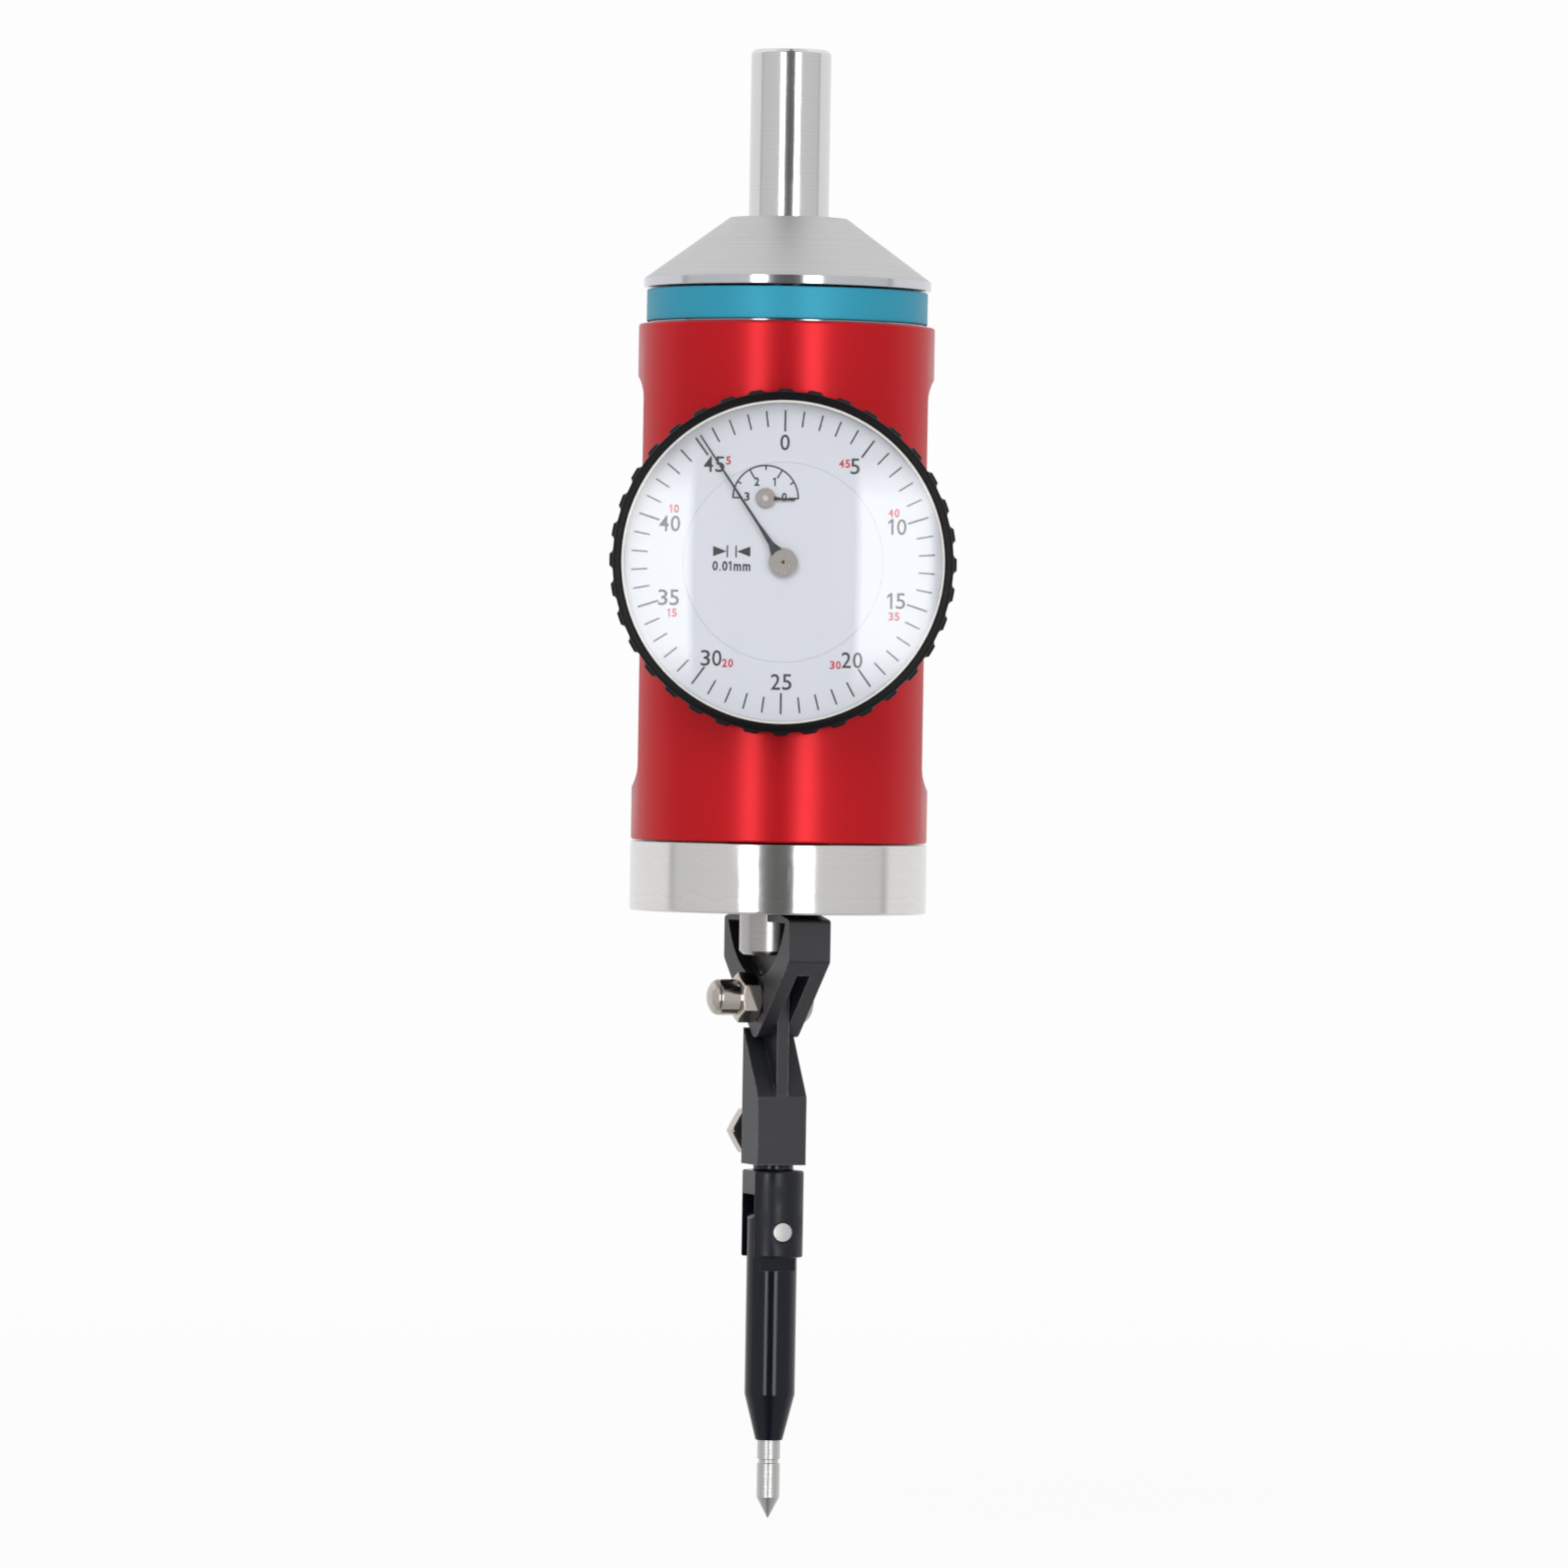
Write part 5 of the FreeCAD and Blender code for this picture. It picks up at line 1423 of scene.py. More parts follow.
@dataclass
class Bezel:
    """The scalloped bezel, the bright ring inside it and the domed crystal.

    Args:
        lobes: Number of lobes round the grip.
        depth: Depth of the scallops.
        spread: From lobe to lobe, as a multiple of a hollow's width.
        smooth: Radius inside which the scallops are gone.
        fade: Width over which they fade in.
        front_radius: Radius of the smooth front ring.
        front_height: Height of that ring.
        seat: Radius of the opening in front, round the bright ring.
        bore: Radius of the bore behind.
        lip_radius: Radius of the lip's opening.
        lip: Depth of the lip's front face.
        lip_width: Thickness of the lip.
        bright_width: Width of the bright ring.
        glass: Thickness of the crystal.
    """

    lobes: int = 36
    depth: float = 0.6 * MM
    spread: float = 1.75
    smooth: float = 26.6 * MM
    fade: float = 0.3 * MM
    front_radius: float = 26.55 * MM
    front_height: float = 2.6 * MM
    seat: float = 25.2 * MM
    bore: float = 24.95 * MM
    lip_radius: float = 24.0 * MM
    lip: float = 27.9 * MM
    lip_width: float = 0.7 * MM
    bright_width: float = 0.5 * MM
    glass: float = 1.2 * MM

    def build(self, shop: Workshop) -> None:
        """Make and dress the pieces.

        Args:
            shop: The workshop.
        """
        self.ring(shop)
        self.bright_ring(shop)
        self.crystal(shop)

    def scallop(self, radius: float, height: float, angle: float) -> float:
        """Return the bezel's radius at an angle: lobes on the grip, smooth inside it.

        Args:
            radius: Radius of the profile's point.
            height: Its height, at which the lobes are all the same.
            angle: Its angle round the axis.

        Returns:
            The radius with the scallop taken off.
        """
        if radius < self.smooth:
            return radius
        share = (angle * self.lobes / (2 * math.pi)) % 1.0
        lobe = abs(2.0 * share - 1.0)
        hollow = math.sqrt(max(0.0, 1.0 - (lobe * self.spread) ** 2))
        return radius - self.depth * hollow * min(1.0, (radius - self.smooth) / self.fade)

    def ring(self, shop: Workshop) -> None:
        """Make the black bezel.

        Args:
            shop: The workshop.
        """
        low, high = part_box("bezel")
        outer = high.x
        back = -high.y
        front = -low.y
        grip_front = front - self.front_height
        lip_back = self.lip - self.lip_width
        profile = rounded([
            (self.bore, back, 0.1 * MM), (outer, back, 0.5 * MM), (outer, grip_front, 0.5 * MM),
            (self.front_radius, grip_front + 0.55 * MM, 0.3 * MM),
            (self.front_radius, front - 0.3 * MM, 0.3 * MM),
            (self.seat + 0.35 * MM, front, 0.3 * MM), (self.seat, front - 0.35 * MM, 0.1 * MM),
            (self.seat, self.lip, 0), (self.lip_radius, self.lip, 0),
            (self.lip_radius, lip_back, 0), (self.bore, lip_back, 0)], 5)
        shop.piece("scalloped_bezel", lathe(ring_of(profile), 720, self.scallop), "bezel_black",
                   "bezel", ["bezel"], DIAL, 50.0)

    def bright_ring(self, shop: Workshop) -> None:
        """Make the bright ring between the dial and the crystal.

        Args:
            shop: The workshop.
        """
        low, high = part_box("crystal_ring")
        outer = high.x
        inner = outer - self.bright_width
        profile = rounded([
            (outer, -high.y, 0), (outer, -low.y, 0), (inner, -low.y, 0.15 * MM),
            (inner - 0.05 * MM, -high.y, 0.05 * MM)], 3)
        shop.piece("bright_crystal_ring", lathe(ring_of(profile), 200), "satin_ring", "bezel",
                   ["crystal_ring"], DIAL)

    def crystal(self, shop: Workshop) -> None:
        """Make the clear crystal.

        Args:
            shop: The workshop.
        """
        low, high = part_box("crystal")
        radius = high.x
        back = -high.y
        front = -low.y
        rise = front - back - self.glass
        outer = (radius ** 2 + rise ** 2) / (2 * rise)
        centre = front - outer
        inner = math.hypot(radius, back - centre)
        steps = 24
        reaches = [radius * step / steps for step in range(steps + 1)]
        inside: Profile = [(reach, centre + math.sqrt(inner ** 2 - reach ** 2)) for reach in reaches]
        outside: Profile = [(reach, centre + math.sqrt(outer ** 2 - reach ** 2))
                            for reach in reversed(reaches)]
        profile = inside + outside
        shop.piece("domed_crystal", lathe(profile, 160), "crystal_clear", "bezel",
                   ["crystal"], DIAL)


@dataclass
class Pointers:
    """The long pointer and the turns counter's small one.

    Args:
        turn: Where the long pointer stands, in degrees anticlockwise from the top.
        small_turn: Where the small pointer stands, counted the same way.
        counter_right: The small pointer's centre, right of the dial's.
        counter_up: The small pointer's centre, above the dial's.
        hub_radius: Radius of the long pointer's hub.
        small_hub: Radius of the small pointer's hub.
        thick: Thickness of the blades.
    """

    turn: float = 34.0
    small_turn: float = -92.5
    counter_right: float = COUNTER_RIGHT
    counter_up: float = COUNTER_UP
    hub_radius: float = 2.2 * MM
    small_hub: float = 1.55 * MM
    thick: float = 0.2 * MM

    def build(self, shop: Workshop) -> None:
        """Make and dress the pieces.

        Args:
            shop: The workshop.
        """
        low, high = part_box("main_pointer")
        place = DIAL @ Matrix.Rotation(math.radians(self.turn), 4, "Z")
        stations = [(-1.0, 0.6), (2.0, 0.95), (3.4, 0.42), (7.0, 0.22), (23.5, 0.12)]
        shop.piece("long_pointer_blade", self.blade(stations, -high.y + 0.2 * MM), "ink_black",
                   "pointer", ["main_pointer"], place)
        shop.piece("long_pointer_hub", self.hub(self.hub_radius, -high.y, -low.y),
                   "satin_nickel", "pointer", ["main_pointer"], place)
        low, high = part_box("counter_pointer")
        place = (DIAL @ Matrix.Translation((self.counter_right, self.counter_up, 0))
                 @ Matrix.Rotation(math.radians(self.small_turn), 4, "Z"))
        stations = [(-0.6, 0.3), (1.4, 0.34), (2.3, 0.2), (4.6, 0.14)]
        shop.piece("small_pointer_blade", self.blade(stations, -high.y + 0.1 * MM), "ink_black",
                   "counter", ["counter_pointer"], place)
        shop.piece("small_pointer_hub", self.hub(self.small_hub, -high.y, -low.y),
                   "satin_nickel", "counter", ["counter_pointer"], place)

    @staticmethod
    def hub(radius: float, back: float, front: float) -> bmesh.types.BMesh:
        """Turn a pointer's hub: softly domed, with a dimple in its centre.

        Args:
            radius: Its radius.
            back: Depth of its back.
            front: Depth of its front.

        Returns:
            The hub's mesh.
        """
        tall = front - back
        dimple = 0.26 * MM
        profile = rounded([
            (0.0, back, 0), (radius, back, 0), (radius, back + tall * 0.5, radius * 0.05),
            (radius * 0.78, back + tall * 0.8, radius * 0.3), (dimple, front, dimple * 0.2),
            (dimple * 0.6, front - tall * 0.6, 0), (0.0, front - tall * 0.6, 0)], 6)
        return lathe(profile, 72)

    def blade(self, stations: Sequence[tuple[float, float]], back: float) -> bmesh.types.BMesh:
        """Make a tapered blade that points up.

        Args:
            stations: (height, half width) pairs in millimetres, from its tail to its tip.
            back: Depth of its back face.

        Returns:
            The blade's mesh.
        """
        right = [(half * MM, up * MM) for up, half in stations]
        left = [(-half * MM, up * MM) for up, half in reversed(stations)]
        return carved(slab(right + left, back, back + self.thick), [], 0.04 * MM, 40.0, 2)


@dataclass
class Yoke:
    """The yoke under the head, with its pivot bolt and acorn nut.

    Args:
        half: Half of the plate's thickness.
        edge: Width of the softened edges.
        pivot: Level of the pivot bolt.
        head_base: Level of the rotor head's underside.
        half_width: Half of the plate's width.
        neck: Radius of the round neck in the head's recess.
        bore: Radius of the plunger's bore.
        tip: Level of the plate's lower tip.
        window: Radius of the window's round part.
        window_rise: How far above the pivot that part's centre is.
        slot: Radius of the saw that cuts the lever's slot.
        slot_half: Half of the slot's width.
        bolt_radius: Radius of the bolt.
        flats: Width across the flats of the bolt's head and the nut.
        dome: Radius of the nut's dome.
    """

    half: float = 3.5 * MM
    edge: float = 0.25 * MM
    pivot: float = PIVOT_LEVEL
    head_base: float = -110.1 * MM
    half_width: float = 15.1 * MM
    neck: float = 9.0 * MM
    bore: float = 6.1 * MM
    tip: float = -130.0 * MM
    window: float = 14.4 * MM
    window_rise: float = 17.5 * MM
    slot: float = 13.1 * MM
    slot_half: float = 1.1 * MM
    bolt_radius: float = 2.0 * MM
    flats: float = 7.0 * MM
    dome: float = 2.85 * MM

    def build(self, shop: Workshop) -> None:
        """Make and dress the pieces.

        Args:
            shop: The workshop.
        """
        self.plate(shop)
        self.bolt(shop)
        self.nut(shop)

    def plate(self, shop: Workshop) -> None:
        """Make the yoke's plate with its window, neck and sawn slot.

        Args:
            shop: The workshop.
        """
        wide = self.half_width
        shoulder = self.head_base - 1.2 * MM
        side_end = shoulder - 6.4 * MM
        outline = rounded([
            (self.neck, self.head_base, 0), (wide - 0.6 * MM, shoulder + 0.3 * MM, 0.5 * MM),
            (wide, shoulder, 0.6 * MM), (wide, side_end, 0.8 * MM),
            (0.9 * MM, self.tip, 2.2 * MM), (-0.9 * MM, self.tip, 2.2 * MM),
            (-wide, side_end, 0.8 * MM), (-wide, shoulder, 0.6 * MM),
            (-wide + 0.6 * MM, shoulder + 0.3 * MM, 0.5 * MM),
            (-self.neck, self.head_base, 0)], 6, True)
        collar = rod(self.neck - 0.02 * MM, self.head_base - 0.01 * MM,
                     self.head_base + 5.05 * MM)
        bore = rod(self.bore, self.head_base - 6.8 * MM, self.head_base + 7.0 * MM, 128)
        slot = turned_to(rod(self.slot, -self.slot_half, self.slot_half, 160),
                         Facing.HEAD_SIDE, (0, 0, self.pivot))
        hole = turned_to(rod(self.bolt_radius, -8.0 * MM, 8.0 * MM, 64), Facing.HEAD_SIDE,
                         (0, 0, self.pivot))
        mesh = carved(side_slab(outline, self.half), [
            ("UNION", collar), ("DIFFERENCE", self.window_tool()), ("DIFFERENCE", bore),
            ("DIFFERENCE", slot), ("DIFFERENCE", hole)], self.edge)
        shop.piece("yoke_plate", mesh, "black_oxide", "spindle", ["yoke"], LINKAGE)

    def window_tool(self) -> bmesh.types.BMesh:
        """Make the tool that cuts the window, flat on top and round below.

        Returns:
            The tool's mesh.
        """
        top = self.head_base - 1.5 * MM
        centre = self.pivot + self.window_rise
        corners: list[tuple[float, float, float]] = []
        steps = 40
        start = math.asin((top - centre) / self.window)
        for step in range(steps + 1):
            angle = start + (-math.pi - 2 * start) * step / steps
            corners.append((self.window * math.cos(angle), centre + self.window * math.sin(angle),
                            0.9 * MM if step in (0, steps) else 0))
        return side_slab(rounded(corners, 4, True), 2 * self.half)

    def bolt(self, shop: Workshop) -> None:
        """Make the hexagon-headed pivot bolt.

        Args:
            shop: The workshop.
        """
        head = hex_head(self.flats, 1.7 * MM)
        shank = rod(self.bolt_radius, -12.5 * MM, 0.05 * MM, 64)
        mesh = turned_to(joined([head, shank]), Facing.HEAD_SIDE, (self.half, 0, self.pivot))
        shop.piece("pivot_hex_bolt", mesh, "bright_nickel", "spindle",
                   ["pivot_bolt"], LINKAGE)

    def nut(self, shop: Workshop) -> None:
        """Make the domed acorn nut.

        Args:
            shop: The workshop.
        """
        flats = hex_head(self.flats, 3.2 * MM, True)
        dome = lathe(rounded([
            (0.0, 0.0, 0), (self.dome, 0.0, 0), (self.dome, 3.3 * MM, 0),
            (self.dome, 6.95 * MM, 1.4 * MM), (1.5 * MM, 7.74 * MM, 1.2 * MM),
            (0.6 * MM, 7.97 * MM, 0.6 * MM), (0.0, 8.0 * MM, 0)], 6), 96)
        mesh = turned_to(joined([flats, dome]), Facing.NUT_SIDE, (-self.half, 0, self.pivot))
        shop.piece("acorn_nut_domed", mesh, "bright_nickel", "spindle",
                   ["acorn_nut"], LINKAGE)


def hex_head(flats: float, height: float, both: bool = False) -> bmesh.types.BMesh:
    """Make a hexagon with its corners turned down, standing on Z = 0.

    Args:
        flats: Width across the flats.
        height: Its height.
        both: Whether both ends are turned down.

    Returns:
        The hexagon's mesh.
    """
    corner = flats / math.sqrt(3)
    angles = [math.radians(60 * step) for step in range(6)]
    outline = [(corner * math.cos(angle), corner * math.sin(angle)) for angle in angles]
    drop = (corner - flats / 2) * 0.62
    reach = corner * 1.02
    crown = flats * 0.485
    foot = [(0.0, 0.0), (crown, 0.0), (reach, drop)] if both else [(0.0, 0.0), (reach, 0.0)]
    envelope = lathe(foot + [(reach, height - drop), (crown, height), (0.0, height)], 120)
    return carved(slab(outline, 0.0, height), [("INTERSECT", envelope)], 0.1 * MM, 25.0, 2)


@dataclass
class Lever:
    """The lever with its fan and block, and the clamp screw.

    Args:
        edge: Width of the softened edges.
        pivot: Level of the pivot bolt.
        top: Level of the fan's top.
        base: Level of the block's underside.
        fan: Half of the fan's width.
        tongue: Half of the tongue's width.
        blade_half: Half of the blade's thickness.
        block_depth: Half of the block's depth.
        block_half: Half of the block's width.
        eye: Radius of the pivot's eye.
        bore: Radius of the socket's bore.
        screw_radius: Radius of the clamp screw.
        screw_rise: How far above the underside the screw is.
        flats: Width across the flats of the screw's head.
    """

    edge: float = 0.32 * MM
    pivot: float = PIVOT_LEVEL
    top: float = -116.9 * MM
    base: float = -150.2 * MM
    fan: float = 9.0 * MM
    tongue: float = 3.6 * MM
    blade_half: float = 1.0 * MM
    block_depth: float = 3.7 * MM
    block_half: float = 4.1 * MM
    eye: float = 2.05 * MM
    bore: float = 2.25 * MM
    screw_radius: float = 2.0 * MM
    screw_rise: float = 4.9 * MM
    flats: float = 7.0 * MM

    def build(self, shop: Workshop) -> None:
        """Make and dress the pieces.

        Args:
            shop: The workshop.
        """
        self.arm(shop)
        self.screw(shop)

    def arm(self, shop: Workshop) -> None:
        """Make the lever: its fan on a thin blade, and its thick block below.

        Args:
            shop: The workshop.
        """
        fan = self.fan
        tongue = self.tongue
        waist = self.pivot + 3.8 * MM
        root = self.pivot - 19.0 * MM
        blade = side_slab(rounded([
            (fan, self.top, 0.3 * MM), (-fan, self.top, 0.3 * MM),
            (-fan, self.top - 0.9 * MM, 0.4 * MM), (-tongue, waist, 1.2 * MM),
            (-tongue, root, 0), (tongue, root, 0), (tongue, waist, 1.2 * MM),
            (fan, self.top - 0.9 * MM, 0.4 * MM)], 4, True), self.blade_half)
        depth = self.block_depth
        thick = side_slab([
            (depth, self.pivot - 4.9 * MM), (depth, self.base), (-depth, self.base),
            (-depth, self.pivot - 15.7 * MM)], self.block_half)
        eye = turned_to(rod(self.eye, -6.0 * MM, 6.0 * MM, 64), Facing.HEAD_SIDE,
                        (0, 0, self.pivot))
        bore = rod(self.bore, self.base - 2.0 * MM, self.base + 8.9 * MM, 64)
        tapping = turned_to(rod(self.screw_radius, 0.0, 6.0 * MM, 64), Facing.BACK,
                            (0, 0, self.base + self.screw_rise))
        mesh = carved(thick, [("UNION", blade), ("DIFFERENCE", eye), ("DIFFERENCE", bore),
                              ("DIFFERENCE", tapping)], self.edge, segments=3)
        shop.piece("lever_arm", mesh, "black_oxide", "lever", ["lever"], LINKAGE)

    def screw(self, shop: Workshop) -> None:
        """Make the clamp screw behind the block.

        Args:
            shop: The workshop.
        """
        head = hex_head(self.flats, 2.8 * MM)
        shank = rod(self.screw_radius, -6.3 * MM, 0.05 * MM, 64)
        screw = turned_to(joined([head, shank]), Facing.BACK,
                          (0, 8.6 * MM, self.base + self.screw_rise))
        shop.piece("clamp_hex_screw", screw, "bright_nickel", "lever",
                   ["clamp_screw"], LINKAGE)


@dataclass
class Feeler:
    """The socket, its rivet, the probe barrel and the centre point.

    Args:
        socket_radius: Radius of the socket's collar.
        socket_top: Level of the collar's top.
        neck: Radius of the neck between the collar and the lever's block.
        neck_top: Level of the neck's top.
        stem: Radius of the stem in the lever's block.
        fork_half: Half of the socket's width across its flats.
        fork_slot: Half of the fork's slot.
        rivet_level: Level of the rivet.
        rivet_radius: Radius of the rivet.
        rivet_half: Half of the rivet's length.
        fork_hole: Radius of the rivet's hole in the fork.
        tang_hole: Radius of the rivet's hole in the tang.
        barrel_radius: Radius of the barrel.
        tang_half: Half of the tang's thickness.
        tang_round: Radius of the tang's round end.
        mouth: Radius of the barrel's mouth.
        throat: Radius of the bore behind the mouth.
        chamber: Radius of the spring's chamber.
        pin: Radius of the centre point.
        collar: Radius of its collar inside the chamber.
        point_mouth: Level of the barrel's lower end.
        groove_depth: Depth of the point's groove.
        past: Half the size of the blocks that cut right past a piece.
    """

    socket_radius: float = 5.05 * MM
    socket_top: float = -151.1 * MM
    neck: float = 3.2 * MM
    neck_top: float = -150.25 * MM
    stem: float = 2.2 * MM
    fork_half: float = 4.1 * MM
    fork_slot: float = 2.8 * MM
    rivet_level: float = -160.8 * MM
    rivet_radius: float = 1.6 * MM
    rivet_half: float = 4.95 * MM
    fork_hole: float = 1.72 * MM
    tang_hole: float = 1.65 * MM
    barrel_radius: float = 4.0 * MM
    tang_half: float = 2.7 * MM
    tang_round: float = 4.4 * MM
    mouth: float = 2.15 * MM
    throat: float = 1.85 * MM
    chamber: float = 2.4 * MM
    pin: float = 1.8 * MM
    collar: float = 2.3 * MM
    point_mouth: float = -194.0 * MM
    groove_depth: float = 0.25 * MM
    past: float = 8.0 * MM

    def build(self, shop: Workshop) -> None:
        """Make and dress the pieces.

        Args:
            shop: The workshop.
        """
        self.socket(shop)
        self.rivet(shop)
        self.barrel(shop)
        self.point(shop)

    def socket(self, shop: Workshop) -> None:
        """Make the forked socket.

        Args:
            shop: The workshop.
        """
        low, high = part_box("feeler_socket")
        top = self.socket_top
        radius = self.socket_radius
        profile = rounded([
            (0.0, low.z, 0), (radius, low.z, 0.45 * MM), (radius, top, 0.5 * MM),
            (self.neck, top, 0.35 * MM), (self.neck, self.neck_top, 0.1 * MM),
            (self.stem, self.neck_top, 0.1 * MM), (self.stem, high.z, 0.3 * MM),
            (0.0, high.z, 0)], 5)
        past = self.past
        flat = self.fork_half
        right = block((flat, -past, low.z - MM), (past, past, top + 0.01 * MM))
        left = block((-past, -past, low.z - MM), (-flat, past, top + 0.01 * MM))
        slot = block((-past, -self.fork_slot, low.z - MM),
                     (past, self.fork_slot, low.z + 10.0 * MM))
        hole = turned_to(rod(self.fork_hole, -past, past, 64), Facing.BACK,
                         (0, 0, self.rivet_level))
        mesh = carved(lathe(profile, 128), [
            ("DIFFERENCE", right), ("DIFFERENCE", left), ("DIFFERENCE", slot),
            ("DIFFERENCE", hole)], 0.14 * MM)
        shop.piece("forked_socket", mesh, "fork_black", "socket",
                   ["feeler_socket"], LINKAGE)

    def rivet(self, shop: Workshop) -> None:
        """Make the rivet with its softly domed ends.

        Args:
            shop: The workshop.
        """
        reach = self.rivet_half
        radius = self.rivet_radius
        profile = rounded([
            (0.0, -reach, 0), (radius, -reach, 0.25 * MM), (radius, reach, 0.25 * MM),
            (0.0, reach, 0)], 4)
        mesh = turned_to(lathe(profile, 64), Facing.BACK, (0, 0, self.rivet_level))
        shop.piece("fork_rivet", mesh, "point_steel", "socket",
                   ["socket_rivet"], LINKAGE)

    def barrel(self, shop: Workshop) -> None:
        """Make the gloss-black barrel with its flat tang.

        Args:
            shop: The workshop.
        """
        low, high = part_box("probe_barrel")
        radius = self.barrel_radius
        shoulder = self.rivet_level - 6.2 * MM
        floor = low.z + 7.0 * MM
        ceiling = low.z + 21.0 * MM
        profile = rounded([
            (self.throat, low.z, 0.05 * MM), (self.mouth, low.z, 0.1 * MM),
            (radius, low.z + 7.3 * MM, 1.0 * MM), (radius, high.z, 0), (0.0, high.z, 0),
            (0.0, ceiling, 0), (self.chamber, ceiling, 0), (self.chamber, floor, 0),
            (self.throat, floor, 0)], 5)
        past = self.past
        half = self.tang_half
        back = block((-past, half, shoulder), (past, past, high.z + MM))
        front = block((-past, -past, shoulder), (past, -half, high.z + MM))
        corners = block((-past, -past, self.rivet_level), (past, past, high.z + MM))
        crown = turned_to(rod(self.tang_round, -past - MM, past + MM, 96), Facing.BACK,
                          (0, 0, self.rivet_level))
        rounding = carved(corners, [("DIFFERENCE", crown)])
        hole = turned_to(rod(self.tang_hole, -past, past, 64), Facing.BACK,
                         (0, 0, self.rivet_level))
        mesh = carved(lathe(ring_of(profile), 128), [
            ("DIFFERENCE", back), ("DIFFERENCE", front), ("DIFFERENCE", rounding),
            ("DIFFERENCE", hole)], 0.16 * MM)
        shop.piece("gloss_probe_barrel", mesh, "gloss_black", "probe",
                   ["probe_barrel"], LINKAGE)

    def point(self, shop: Workshop) -> None:
        """Make the steel centre point with its groove.

        Args:
            shop: The workshop.
        """
        low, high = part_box("centre_point")
        pin = self.pin
        groove = self.point_mouth - 3.0 * MM
        floor = pin - self.groove_depth
        shoulder = high.z - 2.0 * MM
        profile = rounded([
            (0.0, low.z, 0), (0.08 * MM, low.z, 0), (pin, low.z + 3.3 * MM, 0.1 * MM),
            (pin, groove - 0.7 * MM, 0.05 * MM), (floor, groove - 0.65 * MM, 0.05 * MM),
            (floor, groove - 0.05 * MM, 0.05 * MM), (pin, groove, 0.05 * MM),
            (pin, shoulder, 0), (self.collar, shoulder, 0.1 * MM),
            (self.collar, high.z, 0.1 * MM), (0.0, high.z, 0)], 3)
        shop.piece("steel_centre_point", lathe(profile, 96), "point_steel", "point",
                   ["centre_point"], LINKAGE)


@dataclass
class HiddenWorks:
    """The bearings, movement and fasteners inside, which keep their CAD shapes.

    Args:
        brass: The CAD nodes of brass.
        black: The blackened CAD nodes.
    """

    brass: tuple[str, ...] = ("movement_bridge", "movement_pillars", "dial_feet", "rack_guide",
                              "counter_wheel", "rack_carrier", "rack")
    black: tuple[str, ...] = ("dial_case",)

    def build(self, shop: Workshop, nodes: dict[str, bpy.types.Object]) -> None:
        """Dress every CAD node that still shows.

        Args:
            shop: The workshop.
            nodes: The frame's nodes.
        """
        for name in sorted(nodes):
            if name in self.brass:
                finish = "brass"
            elif name in self.black:
                finish = "case_black"
            else:
                finish = "bearing_steel"
            shop.dress(nodes[name], finish)
            LOG.info("dressed %s in %s", name, finish)


